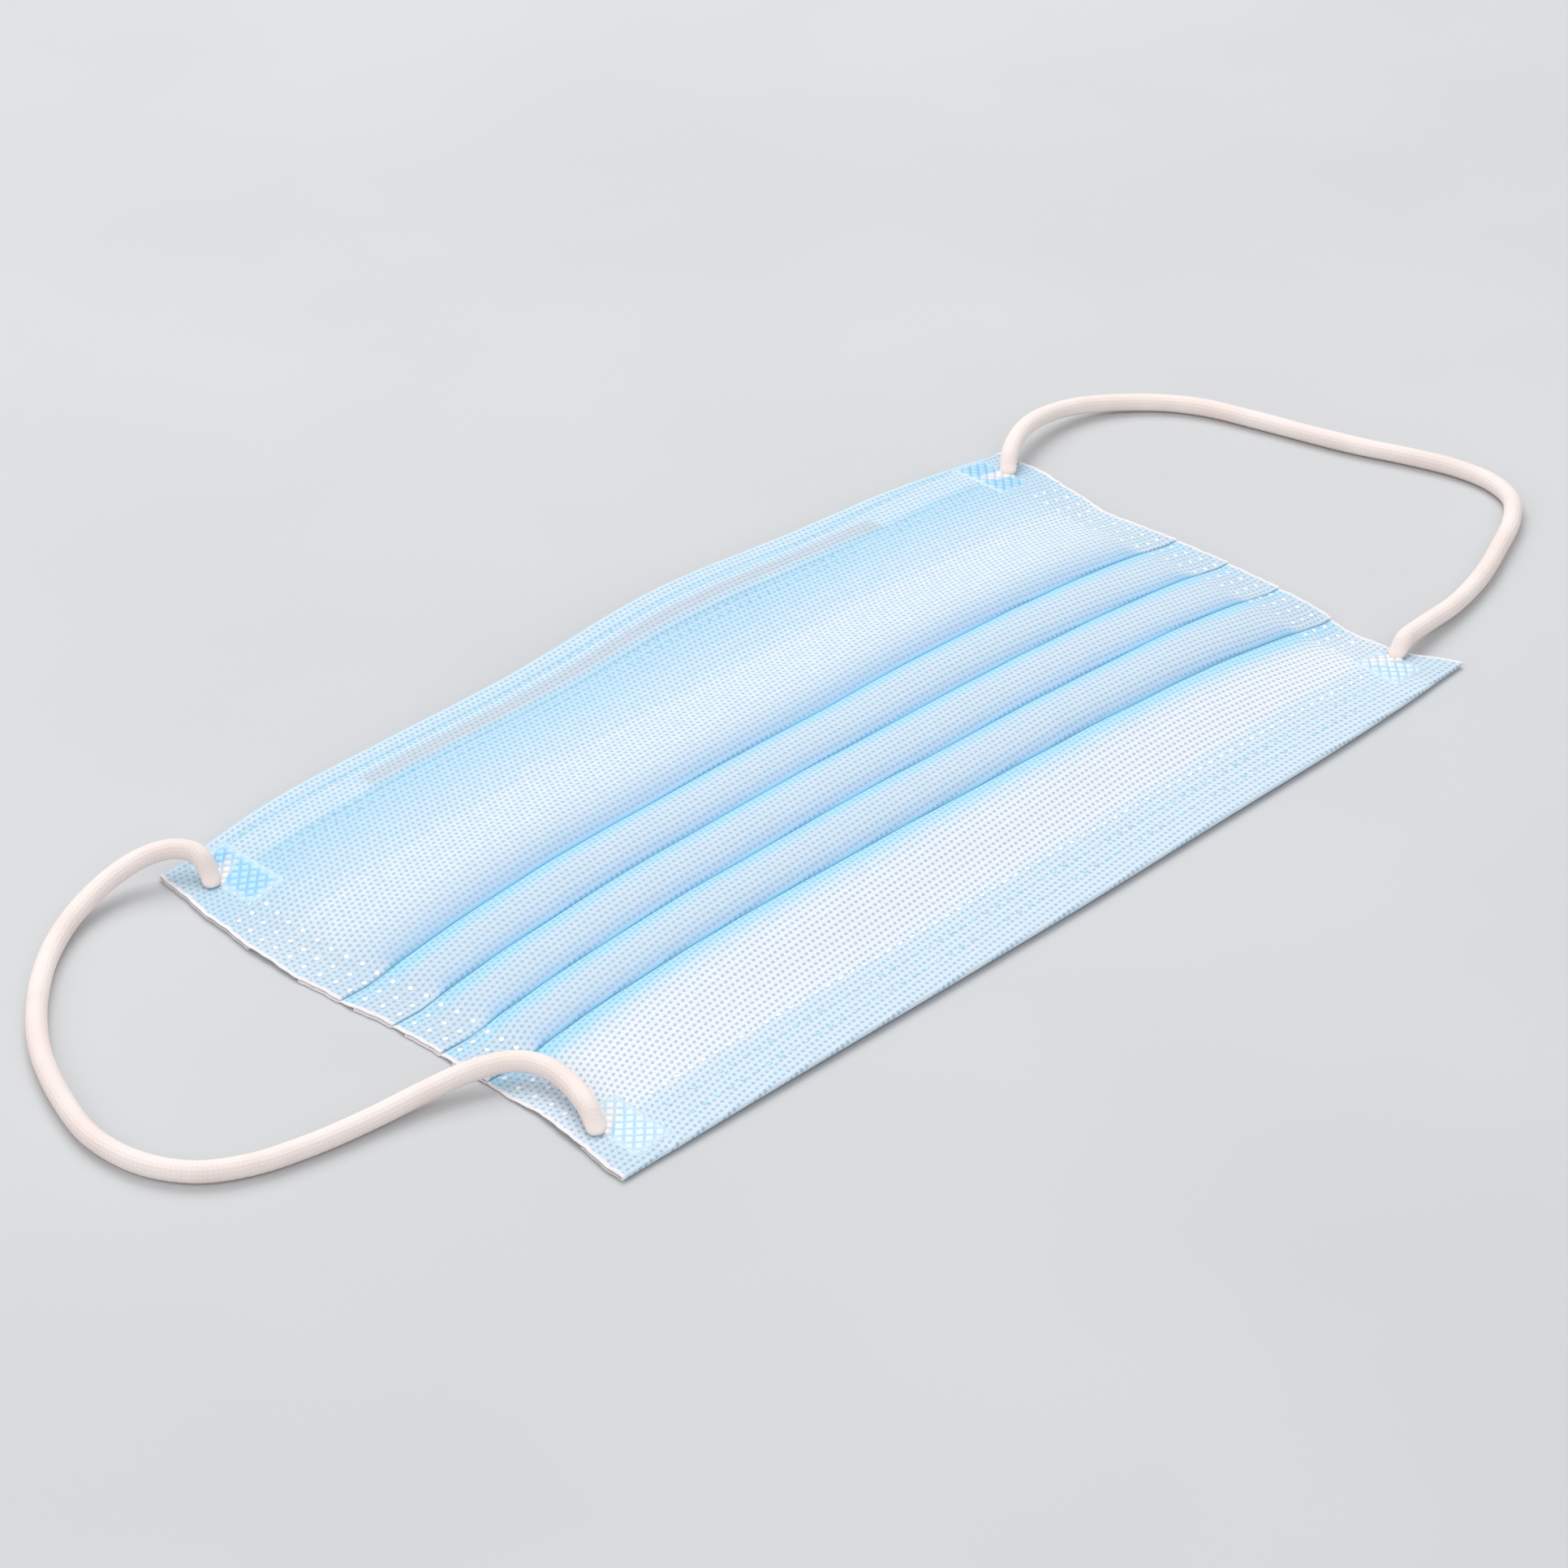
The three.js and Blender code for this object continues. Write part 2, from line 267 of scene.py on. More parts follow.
def knitted_elastic():
    """Round knit of polyamide over elastane: off-white with a pink tint, matte, soft at the outline."""
    material, tree, shader = new_material("round_knit_polyamide_elastane")
    # The map runs once round the cord in x and counts decimetres along it in y.
    knit_map = add(tree, "ShaderNodeUVMap", uv_map="knit").outputs[0]
    knit = add(tree, "ShaderNodeSeparateXYZ", {"Vector": knit_map})
    rib = maths(tree, "PINGPONG", maths(tree, "MULTIPLY", knit.outputs["X"], float(WALES)), 0.5)
    along = maths(tree, "MULTIPLY", knit.outputs["Y"], 100 / COURSE)
    slant = maths(tree, "ADD", along, maths(tree, "MULTIPLY", rib, 1.3))
    stitch = maths(tree, "PINGPONG", slant, 0.5)
    place = add(tree, "ShaderNodeTexCoord").outputs["Object"]
    fuzz = add(tree, "ShaderNodeTexNoise", {"Vector": place}, {"Scale": 1400.0, "Detail": 3.0})
    drift = add(tree, "ShaderNodeTexNoise", {"Vector": place}, {"Scale": 90.0, "Detail": 2.0})
    height = maths(tree, "ADD", stitch, maths(tree, "MULTIPLY", rib, 0.9))
    height = maths(tree, "ADD", height, maths(tree, "MULTIPLY", fuzz.outputs["Fac"], 0.8))
    bump = add(tree, "ShaderNodeBump", {"Height": height}, {"Strength": 0.45, "Distance": 0.05 * MM})
    tree.links.new(bump.outputs["Normal"], shader.inputs["Normal"])
    yarn = blend_colours(tree, ramp(tree, drift.outputs["Fac"], 0.35, 0.65), "#f3e3dc", "#f8ece7")
    shaded = blend_colours(tree, ramp(tree, stitch, 0.0, 0.35, 0.22, 0.0), yarn, "#dcc4ba")
    tree.links.new(shaded, shader.inputs["Base Color"])
    shader.inputs["Roughness"].default_value = 0.82
    shader.inputs["Specular IOR Level"].default_value = 0.25
    shader.inputs["Sheen Weight"].default_value = 0.25
    shader.inputs["Sheen Roughness"].default_value = 0.5
    return material


ELASTIC = knitted_elastic()
print(WALES, "ribs round the cord and a row of stitches every", COURSE, "mm")

# %% [markdown]
# ## From a route to a tube
#
# A curve with a bevel is the quick way to make a cord, but its section stays the same all along. Here a
# ring of points is carried along the route, and every ring can be ribbed, widened or squashed. Two
# helpers come first: one picks an object, as a click would, and one turns its faces outward.

# %% Tube round a route
SIDES = WALES * 4


def choose(made):
    """Makes one object the only selected and the active one."""
    bpy.ops.object.select_all(action="DESELECT")
    made.select_set(True)
    bpy.context.view_layer.objects.active = made


def fix_normals(made):
    choose(made)
    bpy.ops.object.mode_set(mode="EDIT")
    bpy.ops.mesh.select_all(action="SELECT")
    bpy.ops.mesh.normals_make_consistent(inside=False)
    bpy.ops.object.mode_set(mode="OBJECT")
    bpy.ops.object.shade_smooth()


def tube(name, line, radii, widths, map_name):
    """A closed tube whose ring i has its height radius and width factor, mapped round and along."""
    tangents = np.gradient(line, axis=0)
    tangents /= np.linalg.norm(tangents, axis=1)[:, None]
    up = np.array([0, 0, 1.0]) - tangents * tangents[:, 2:]
    up /= np.linalg.norm(up, axis=1)[:, None]
    side = np.cross(tangents, up)
    angles = np.linspace(0, 2 * math.pi, SIDES, endpoint=False)
    ring = radii[:, :, None]
    rings = line[:, None] + ring * (
        np.cos(angles)[None, :, None] * (side * widths[:, None])[:, None]
        + np.sin(angles)[None, :, None] * up[:, None]
    )
    count = len(line)
    points = np.vstack([rings.reshape(-1, 3), line[:1], line[-1:]])
    faces = []
    for i in range(count - 1):
        for j in range(SIDES):
            k = (j + 1) % SIDES
            faces.append((i * SIDES + j, i * SIDES + k, (i + 1) * SIDES + k, (i + 1) * SIDES + j))
    first, last = count * SIDES, count * SIDES + 1
    for j in range(SIDES):
        k = (j + 1) % SIDES
        faces.append((first, k, j))
        faces.append((last, (count - 1) * SIDES + j, (count - 1) * SIDES + k))
    mesh = bpy.data.meshes.new(name)
    mesh.from_pydata((points * MM).tolist(), [], faces)
    made = bpy.data.objects.new(name, mesh)
    bpy.context.collection.objects.link(made)
    layer = mesh.uv_layers.new(name=map_name)
    along = np.r_[0, np.cumsum(np.linalg.norm(np.diff(line, axis=0), axis=1))] / 100
    uv = []
    for i in range(count - 1):
        for j in range(SIDES):
            uv += [(j / SIDES, along[i]), ((j + 1) / SIDES, along[i]),
                   ((j + 1) / SIDES, along[i + 1]), (j / SIDES, along[i + 1])]
    for j in range(SIDES):
        uv += [((j + 0.5) / SIDES, along[0]), ((j + 1) / SIDES, along[0]), (j / SIDES, along[0])]
        uv += [((j + 0.5) / SIDES, along[-1]), (j / SIDES, along[-1]), ((j + 1) / SIDES, along[-1])]
    layer.data.foreach_set("uv", np.array(uv).ravel())
    fix_normals(made)
    return made


print("a tube has", SIDES, "sides, four for each rib")

# %% [markdown]
# ## Two loops with flattened ends
#
# The real elastic is never quite even, so its thickness drifts by a few hundredths. Near its ends it
# gets lower and wider, because the welding horn has squashed it, and comes down onto the cloth.

# %% Ear loops
PINCH = 4.5  # millimetres over which each end is squashed towards its weld
FLATTENED = 0.62  # how much of its height the elastic loses at a weld
ROUND_TIP = 1.3  # the rounded tip's length


def ear_loop(side, line, length, weld_heights):
    """The cord's rings: ribbed by the knit, a little uneven, and squashed down onto both welds."""
    count = len(line)
    along = np.linspace(0, length, count)
    to_end = np.minimum(along, length - along)
    squash = 1 - np.clip(to_end / PINCH, 0, 1)
    squash = squash * squash * (3 - 2 * squash)
    angles = np.linspace(0, 2 * math.pi, SIDES, endpoint=False)
    uneven = np.array([noise.noise(Vector((a / 7.0, 3.1 if side == "left" else 8.7, 0.0))) for a in along])
    ribs = 0.022 * np.cos(WALES * angles)
    courses = 0.008 * np.cos(2 * math.pi * along / (2 * COURSE))
    radii = LOOP_DIAMETER / 2 * (1.03 + 0.03 * uneven[:, None] + ribs[None] + courses[:, None])
    nearly = np.clip(to_end / ROUND_TIP, 0, 1)
    rounded = np.sqrt(np.clip(1 - (1 - nearly) ** 2, 0.02, 1))
    radii = radii * ((1 - FLATTENED * squash) * rounded)[:, None]
    lowered = line.copy()
    weld_height = np.where(along < length / 2, *weld_heights)
    lowered[:, 2] += (weld_height - lowered[:, 2]) * squash
    widths = (1 - 0.08 * squash) / (1 - FLATTENED * squash)
    loop = tube(f"ear_loop_{side}_knit", lowered, radii, widths, "knit")
    loop.data.materials.append(ELASTIC)
    node = f"ear_loop_{side}"
    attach(loop, "root")
    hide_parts(node)
    return loop


left_loop = ear_loop("left", left_line, left_length, (1.36, 1.36))
right_loop = ear_loop("right", right_line, right_length, (2.12, 1.40))
print("ear loops have", len(left_loop.data.polygons), "and", len(right_loop.data.polygons), "faces")

# %% [markdown]
# ## The shape of the mask
#
# The finished mask is about 175 by 96 mm. It lies nearly flat: the side seams and the chin edge touch
# the table, the folded middle springs up by about 4 mm, and the nose edge keeps the bump that was bent
# into its wire. These few tables say that: how far each cut end draws in, how high the underside
# stands, and where the four pleat lips meet the side seams. Everything else is worked out from them.

# %% Outline and rise
LENGTH = 175.0
PLEAT_BOW = 1.0
LEFT_SEAM, RIGHT_SEAM = -80.0, 80.0
BRIDGE_X, BRIDGE_HEIGHT, BRIDGE_SPREAD, BRIDGE_FROM = 8.5, 2.0, 19.0, 22.0

LONG_EDGES = [
    # x, y of the nose edge, y of the chin edge
    (-87.5, 47.6, -47.0),
    (-60.0, 48.6, -47.7),
    (-30.0, 48.5, -48.5),
    (0.0, 48.9, -49.1),
    (30.0, 49.2, -49.2),
    (55.0, 47.9, -49.4),
    (75.0, 46.2, -48.8),
    (87.5, 46.4, -48.0),
]
PLEATS = [
    # y of the lip at the left end, and at the right end
    (7.5, 6.1),
    (-1.7, -4.2),
    (-10.8, -14.8),
    (-19.6, -25.8),
]
END_INSETS = [
    # y, left inset, right inset
    (48.0, 1.5, 0.8),
    (38.0, 0.3, 0.0),
    (28.0, -0.4, 1.6),
    (19.0, -0.5, 3.5),
    (7.0, 0.7, 2.6),
    (-3.0, 2.2, 2.3),
    (-20.0, 2.7, 2.9),
    (-32.0, 3.0, 4.0),
    (-41.0, 1.8, 3.5),
    (-46.0, 1.5, 0.0),
    (-50.0, 1.5, -1.2),
]
RISE = [
    # y, height of the underside at mid length, how squarely it falls to the seams
    (48.0, 2.8, 7.0),
    (36.0, 3.2, 6.0),
    (25.0, 3.6, 4.5),
    (8.0, 3.9, 3.0),
    (-22.0, 3.7, 3.0),
    (-30.0, 2.6, 3.5),
    (-40.0, 0.9, 5.0),
    (-50.0, 0.2, 6.0),
]


print(len(LONG_EDGES), "rows for the long edges and", len(RISE), "for the rise; the lips are", PLEATS)

# %% [markdown]
# ## From tables to a smooth shape
#
# A table has corners at its rows and cloth has none, so each value is read at five places close
# together and averaged. The arch over the nose, the sprung right end and the fine ripple of the cut ends
# are small formulas. A sculpted surface could look the same, but it could not be corrected by one number.

# %% Height, edges and lips
def ease(value, low, high):
    """0 below low, 1 above high, and smooth between them."""
    t = np.clip((value - low) / (high - low), 0, 1)
    return t * t * (3 - 2 * t)


def column(given, at, index, soften=2.5):
    """Reads one column of a table at a place, with the corners between its rows rounded off."""
    places = np.array([row[0] for row in given])
    values = np.array([row[index] for row in given])
    if places[0] > places[-1]:
        places, values = places[::-1], values[::-1]
    at = np.asarray(at, float)
    return sum(np.interp(at + step * soften, places, values) for step in (-1.0, -0.5, 0.0, 0.5, 1.0)) / 5


def fullness(x, power):
    """1 at mid length, falling to 0 just beyond the side seams."""
    reach = np.where(x < 0, -LEFT_SEAM + 2.5, RIGHT_SEAM + 5.0)
    return 1 - np.minimum(1, np.abs(x) / reach) ** power


def underside(x, y):
    arch = np.exp(-(((x - BRIDGE_X) / BRIDGE_SPREAD) ** 2)) * ease(y, BRIDGE_FROM, 48.0)
    sprung_end = 0.9 * ease(x, 20.0, 80.0) * ease(y, -32.0, -18.0) * (1 - ease(y, 10.0, 26.0))
    rise = column(RISE, y, 1) * fullness(x, column(RISE, y, 2))
    return rise + BRIDGE_HEIGHT * arch * fullness(x, 8) + sprung_end


def nose_edge_at(x):
    return float(column(LONG_EDGES, x, 1, 6.0))


def chin_edge_at(x):
    return float(column(LONG_EDGES, x, 2, 6.0))


def lip_line(index, x):
    left, right = PLEATS[index]
    return left + (right - left) * (x + LENGTH / 2) / LENGTH + PLEAT_BOW * fullness(x, 3)


def place_along(x, y, overhang=0.0):
    """Carries a nominal x between the two cut ends, and lets a lower layer stick out by its overhang."""
    ripple = 0.10 * np.sin(y * 1.9) + 0.20 * np.sin(y * 0.63 + 1.0)
    left = -LENGTH / 2 + column(END_INSETS, y, 1) + ripple * 0.6
    right = LENGTH / 2 - column(END_INSETS, y, 2) - ripple * 0.5
    share = (x + LENGTH / 2) / LENGTH
    out = overhang * np.sign(x) * ease(np.abs(x), RIGHT_SEAM - 2, LENGTH / 2)
    return left + (right - left) * share + out


print("underside at the middle:", round(float(underside(0.0, 0.0)), 2), "mm; at the bump:",
      round(float(underside(BRIDGE_X, 47.0)), 2), "mm")

# %% [markdown]
# ## The folded sheet
#
# From the side, a pleat is a letter Z: the strip runs to its lip, turns under, runs back beneath
# itself, turns again, and comes out under the lip as the next strip. The strip then has to climb over
# the folded layers of its own pleat, which gives each one its steep far flank, its crest and its round
# near lip. A flat drawing of strips with grooves would look right only from above, so the whole path is
# folded here: one section is worked out for each column of the sheet, and every row has its place on
# the uncut cloth, which becomes the map that the embossed dots follow.

# %% Plies, turns and creases
PLY = 0.32  # the three bonded plies
SEAM_PLY = 0.17  # the same plies pressed together in the side seams
BOTTOM = 0.18  # middle of the lowest layer above the underside
HEM_LEVEL = 0.30  # middle of the turned-in ply above the underside
PANEL_LEVEL = 0.84  # middle of the single outer layer above the underside
FOLD_BACK = 2.6  # a pleat's inner fold stops this far short of the lip above it
WIRE_X, WIRE_Y, WIRE_LENGTH, WIRE_WIDTH = -1.0, 41.2, 106.0, 3.2
UPPER_WELD_Y, LOWER_WELD_Y = 45.4, 38.2  # the creases along both sides of the wire
NOSE_ROWS, STRIP_ROWS, CHIN_ROWS = 60, 18, 28
LIP_ROWS, BACK_ROWS, INNER_ROWS, EDGE_ROWS = 8, 6, 6, 6


def half_turn(y, low, high, count, outward):
    """A fold seen from the side, from one layer to the other; outward is +1 to the nose, -1 to the chin.
    The turn starts at the first height given and ends at the second."""
    angles = np.linspace(0, math.pi, count + 2)[1:-1]
    radius = (high - low) / 2
    return y + outward * abs(radius) * np.sin(angles), (low + high) / 2 - radius * np.cos(angles)


def wire_ridge(x, y):
    """How much the coated wire lifts the cloth over it."""
    along = 1 - ease(np.abs(x - WIRE_X), WIRE_LENGTH / 2 - 0.6, WIRE_LENGTH / 2 + 1.2)
    across = 1 - ease(np.abs(y - WIRE_Y), WIRE_WIDTH / 2 - 0.5, WIRE_WIDTH / 2 + 0.9)
    return along * across


def weld_creases(y):
    """The cloth is pinched down along the welds on both sides of the wire."""
    upper = np.exp(-(((y - UPPER_WELD_Y) / 0.55) ** 2))
    lower = np.exp(-(((y - LOWER_WELD_Y) / 0.7) ** 2))
    free_edge = np.exp(-(((y - 25.0) / 0.6) ** 2))
    return 0.22 * upper + 0.16 * lower + 0.07 * free_edge


def openness(x):
    """1 where the layers lie loose, 0 where the side seams press them together."""
    return float(1 - ease(abs(x), RIGHT_SEAM - 3.5, RIGHT_SEAM + 0.5))


print("plies:", PLY, "mm loose and", SEAM_PLY, "mm pressed in the side seams")

# %% [markdown]
# ## One section
#
# The path is written down as a list of short runs, in the order in which the cloth passes: the nose
# edge, the nose panel, then for every pleat its lip, its way back, its inner fold and the next strip,
# and at last the chin panel and its edge. Every section has the same number of points, whatever its x,
# so that the sections join into one clean grid. Drawing each by hand would lose that.

# %% One section across the pleats
FALL, FALL_POWER = 4.6, 1.8  # a strip's near side falls to its lip over this length
CLIMB, CHIN_CLIMB, CLIMB_POWER = 4.8, 5.0, 2.3  # its far side climbs out of the groove over this length
EDGE_RADIUS = (PANEL_LEVEL - HEM_LEVEL) / 2


def section(x):
    """The folded path at x from the nose hem's join to the chin hem's: y, height above the underside,
    how near a groove or a lip is, how deep the cloth lies on others, and how far its cut end sticks out.
    The material turns the groove and lip values into painted light and painted shade, and the depth into
    painted shade mixed with the bluer look of layered plies."""
    full, loose = float(fullness(x, 4)), openness(x)
    ply = SEAM_PLY + (PLY - SEAM_PLY) * loose
    pitch = ply + 0.03 + 0.03 * loose + 0.08 * full
    crest = BOTTOM + 2 * pitch + 0.85 * full
    lip_low = BOTTOM + ply + 0.02 + 0.03 * loose
    lip_high = lip_low + ply + 0.02 + 0.03 * loose + 0.09 * full
    radius = (lip_high - lip_low) / 2
    lips = [float(lip_line(i, x)) for i in range(len(PLEATS))]
    path = [[] for _ in range(6)]

    def run(y, h, groove=0.0, lip=0.0, stacked_and_shaded=0.0, out=0.0):
        y = np.atleast_1d(y)
        for part, given in zip(path, (y, h, groove, lip, stacked_and_shaded, out)):
            part.append(np.broadcast_to(given, y.shape))

    def falls_to_lip(to_lip):
        return (crest - lip_high) * (1 - np.clip(to_lip / FALL, 0, 1)) ** FALL_POWER

    nose_edge = nose_edge_at(x) - PLY / 2 - EDGE_RADIUS
    y, h = half_turn(nose_edge, HEM_LEVEL, PANEL_LEVEL, EDGE_ROWS, 1)
    run(np.r_[nose_edge, y], np.r_[HEM_LEVEL, h])

    # The nose panel, from its folded edge to the first lip.
    turn = lips[0] + ply / 2 + radius
    y = np.linspace(nose_edge, turn, NOSE_ROWS)
    to_lip = y - turn
    over_pleat = 1 - ease(to_lip, 7.0, 17.0)
    h = PANEL_LEVEL + (crest - PANEL_LEVEL) * over_pleat - falls_to_lip(to_lip)
    h = h + 0.34 * wire_ridge(x, y) - weld_creases(y) * float(fullness(x, 10))
    run(y, h, lip=np.exp(-to_lip / 2.8), stacked_and_shaded=1 - ease(to_lip, 1.5, 9.0))

    for index, lip in enumerate(lips):
        turn = lip + ply / 2 + radius
        above = lips[index - 1] if index else lip + 10.2
        back = above - FOLD_BACK
        inner_radius = pitch / 2
        y, h = half_turn(turn, lip_high, lip_low, LIP_ROWS, -1)
        run(y, h, groove=np.linspace(0.3, 1 + loose, len(y)), lip=1.0, stacked_and_shaded=1.0)
        y = np.linspace(turn, back - inner_radius, BACK_ROWS)
        h = lip_low + (BOTTOM + pitch - lip_low) * ease(y - turn, 0, 3.2)
        run(y, h, groove=1 + loose, stacked_and_shaded=1.0, out=-0.15)
        y, h = half_turn(back - inner_radius, BOTTOM + pitch, BOTTOM, INNER_ROWS, 1)
        run(y, h, groove=1.0, stacked_and_shaded=1.0, out=0.05)
        y = np.linspace(back - inner_radius, turn, BACK_ROWS)
        run(y, BOTTOM, groove=1 + loose, stacked_and_shaded=1.0, out=0.18)
        if index == len(PLEATS) - 1:
            break
        # The next strip starts to climb while it is still under the lip, crests, and falls to its own.
        next_turn = lips[index + 1] + ply / 2 + radius
        t = np.linspace(0, 1, STRIP_ROWS + 1)[1:]
        y = turn + (next_turn - turn) * (0.5 * t + 0.5 * t ** 1.7)
        climb = 1 - (1 - np.clip((turn - y) / CLIMB, 0, 1)) ** CLIMB_POWER
        h = BOTTOM + (crest - BOTTOM) * climb - falls_to_lip(y - next_turn)
        groove = 1 / (1 + ((turn - y) / 3.0) ** 4) + loose * np.exp(-(turn - y) / 0.45)
        run(y, h, groove=groove, lip=np.exp(-(y - next_turn) / 1.9), stacked_and_shaded=1.0)

    # The chin panel climbs out of the last groove and runs down to the chin edge.
    chin_edge = chin_edge_at(x) + PLY / 2 + EDGE_RADIUS
    t = np.linspace(0, 1, CHIN_ROWS + 1)[1:]
    y = turn + (chin_edge - turn) * (0.35 * t + 0.65 * t ** 1.5)
    below = turn - y
    climb = 1 - (1 - np.clip(below / CHIN_CLIMB, 0, 1)) ** CLIMB_POWER
    settled = ease(below, 3.0, 16.0)
    h = BOTTOM + (crest - 0.3 - BOTTOM) * climb * (1 - settled) + (PANEL_LEVEL - BOTTOM) * settled
    h = h - 0.10 * np.exp(-(((y + 37.6) / 0.7) ** 2))
    groove = 1 / (1 + (below / 3.2) ** 3) + loose * np.exp(-below / 0.45)
    run(y, h, groove=groove, stacked_and_shaded=1 - ease(below, 0.5, 4.0))
    y, h = half_turn(chin_edge, PANEL_LEVEL, HEM_LEVEL, EDGE_ROWS, -1)
    run(np.r_[y, chin_edge], np.r_[h, HEM_LEVEL])
    return [np.concatenate(part) for part in path]


middle_section = section(0.0)

# %% [markdown]
# ## Lay out flat, then fold
#
# A grid is laid out flat, and then every point is moved to its folded place. A cloth simulation could
# fold a sheet too, but a mask's pleats are laid by a machine and pressed, so a formula puts them exactly
# where they belong. Each point also keeps its place on the uncut cloth and how near it is to a fold or
# a lip, for the material to read. Slight waves are added, because light cloth never lies quite smooth.

# %% Lay out a cut sheet and fold it
MAP_HEIGHT = 200.0  # millimetres of cloth for one unit of the sheet's map


def undulation(x, y):
    """The slight waves of a light cloth that has been packed and opened again."""
    slow = noise.noise(Vector((x / 26, y / 17, 1.7)))
    quick = noise.noise(Vector((x / 9, y / 7, 5.2)))
    return 0.30 * slow + 0.10 * quick


def settled_waves(x, y):
    """The waves in one column of cloth, fading out where it is pressed or lies on the table."""
    calm = float(fullness(x, 6))
    return np.array([undulation(x, v) for v in y]) * (0.25 + 0.75 * calm) * ease(underside(x, y), 0.1, 1.5)


def flat_grid(name, columns, rows):
    """The cut sheet laid out flat, one unit square, with its own map."""
    bpy.ops.object.select_all(action="DESELECT")
    bpy.ops.mesh.primitive_grid_add(x_subdivisions=columns, y_subdivisions=rows, size=1)
    made = bpy.context.object
    made.name = made.data.name = name
    return made


def fold(made, places, maps, traits):
    """Moves every point of the flat grid to its folded place, and stores its map and its traits."""
    mesh = made.data
    columns, rows = places.shape[0] - 1, places.shape[1] - 1
    at = np.empty(len(mesh.vertices) * 3)
    mesh.vertices.foreach_get("co", at)
    flat = at.reshape(-1, 3)
    i = np.rint((flat[:, 0] + 0.5) * columns).astype(int)
    j = np.rint((0.5 - flat[:, 1]) * rows).astype(int)
    mesh.vertices.foreach_set("co", (places[i, j] * MM).ravel())
    layer = mesh.uv_layers[0]
    layer.name = "cut_sheet"
    corner = np.empty(len(mesh.loops), int)
    mesh.loops.foreach_get("vertex_index", corner)
    layer.data.foreach_set("uv", maps[i, j][corner].ravel())
    for trait, values in traits.items():
        mesh.attributes.new(trait, "FLOAT", "POINT").data.foreach_set("value", values[i, j].astype(float))
    mesh.update()


print("waves at the middle:", np.round(settled_waves(0.0, np.array([-20.0, 0.0, 20.0])), 2), "mm")

# %% [markdown]
# ## The panel
#
# Every column of the grid takes its own section and is carried between the two cut ends. Where plies
# lie on each other the cloth looks bluer, so the turned-in plies are told to the material as well. They
# could be painted on, but worked out from their places they stay right when the hems are changed.

# %% Fold the panel
COLUMNS = 172


def doubled(y):
    """How much blue the turned-in plies add: most at the weld below the wire, less beyond the wire, a
    little in the chin hem, and two creases beside the wire."""
    pocket = (0.25 * ease(y, 24.6, 25.6) + 0.65 * ease(y, 25.0, 37.0)) * (1 - 0.55 * ease(y, 38.5, 40.5))
    creases = 0.5 * np.exp(-(((y - 45.4) / 0.6) ** 2)) + 0.3 * np.exp(-(((y - 38.6) / 0.9) ** 2))
    creases = creases + 0.15 * np.exp(-(((y - 28.2) / 0.5) ** 2))
    return np.clip(pocket + creases, 0, 1) + 0.45 * (1 - ease(y, -39.0, -37.0))


TRAITS = ("groove", "lip", "stacked_and_shaded", "chin", "doubled", "from_end")
rows = len(middle_section[0]) - 1
places = np.zeros((COLUMNS + 1, rows + 1, 3))
maps = np.zeros((COLUMNS + 1, rows + 1, 2))
traits = {trait: np.zeros((COLUMNS + 1, rows + 1)) for trait in TRAITS}
for i, x in enumerate(np.linspace(-LENGTH / 2, LENGTH / 2, COLUMNS + 1)):
    y, h, groove, lip, stacked_and_shaded, out = section(x)
    z = underside(x, y) + h + settled_waves(x, y)
    places[i] = np.stack([place_along(x, y, out), y, z], 1)
    along = np.r_[0, np.cumsum(np.hypot(np.diff(y), np.diff(h)))]
    maps[i] = np.stack([np.full_like(y, (x + LENGTH / 2) / LENGTH), along / MAP_HEIGHT], 1)
    traits["groove"][i] = groove * (0.6 + 0.4 * openness(x))
    traits["lip"][i] = lip * openness(x)
    traits["stacked_and_shaded"][i] = stacked_and_shaded
    traits["chin"][i] = 1 - ease(y, float(lip_line(3, x)) - 7, float(lip_line(3, x)) - 2)
    traits["doubled"][i] = doubled(y)
    traits["from_end"][i] = LENGTH / 2 - abs(x)

panel = flat_grid("pleated_panel_cloth", COLUMNS, rows)
fold(panel, places, maps, traits)
print("folded sheet:", len(panel.data.vertices), "points")

# %% [markdown]
# ## Spunbond cloth
#
# All outer faces are spunbond polypropylene: endless filaments laid down at random and bonded with hot
# rollers whose points leave rows of small dents, staggered, one millimetre apart each way. The dents are
# closed and darker, the field between them is soft, pale and a little cloudy. Where two plies lie on
# each other less white comes through and the blue gets stronger. Near the folds the colour also carries
# painted light and shade: painted shade on the strips and the lips, a painted cyan light in the grooves
# for the light that passes through the folded plies, and a chin panel painted lighter. A tiled image
# could give the dots but not that. So the material is worked out on the cut sheet's own map, in
# millimetres, and knows how near each point is to a fold, to the wire and to the cut end.

# %% Bond points and the wire's band
DOT_PITCH = 1.0
NOSE_EDGE_Y, TURN_EXTRA = 48.7, 0.2  # the nose edge at mid length, and what its turn adds to the cloth
WIRE_S = NOSE_EDGE_Y - WIRE_Y + TURN_EXTRA  # the wire, measured along the cloth from the nose hem's join


def trait(tree, name):
    """A value that was stored on the sheet's points."""
    return add(tree, "ShaderNodeAttribute", attribute_name=name).outputs["Fac"]


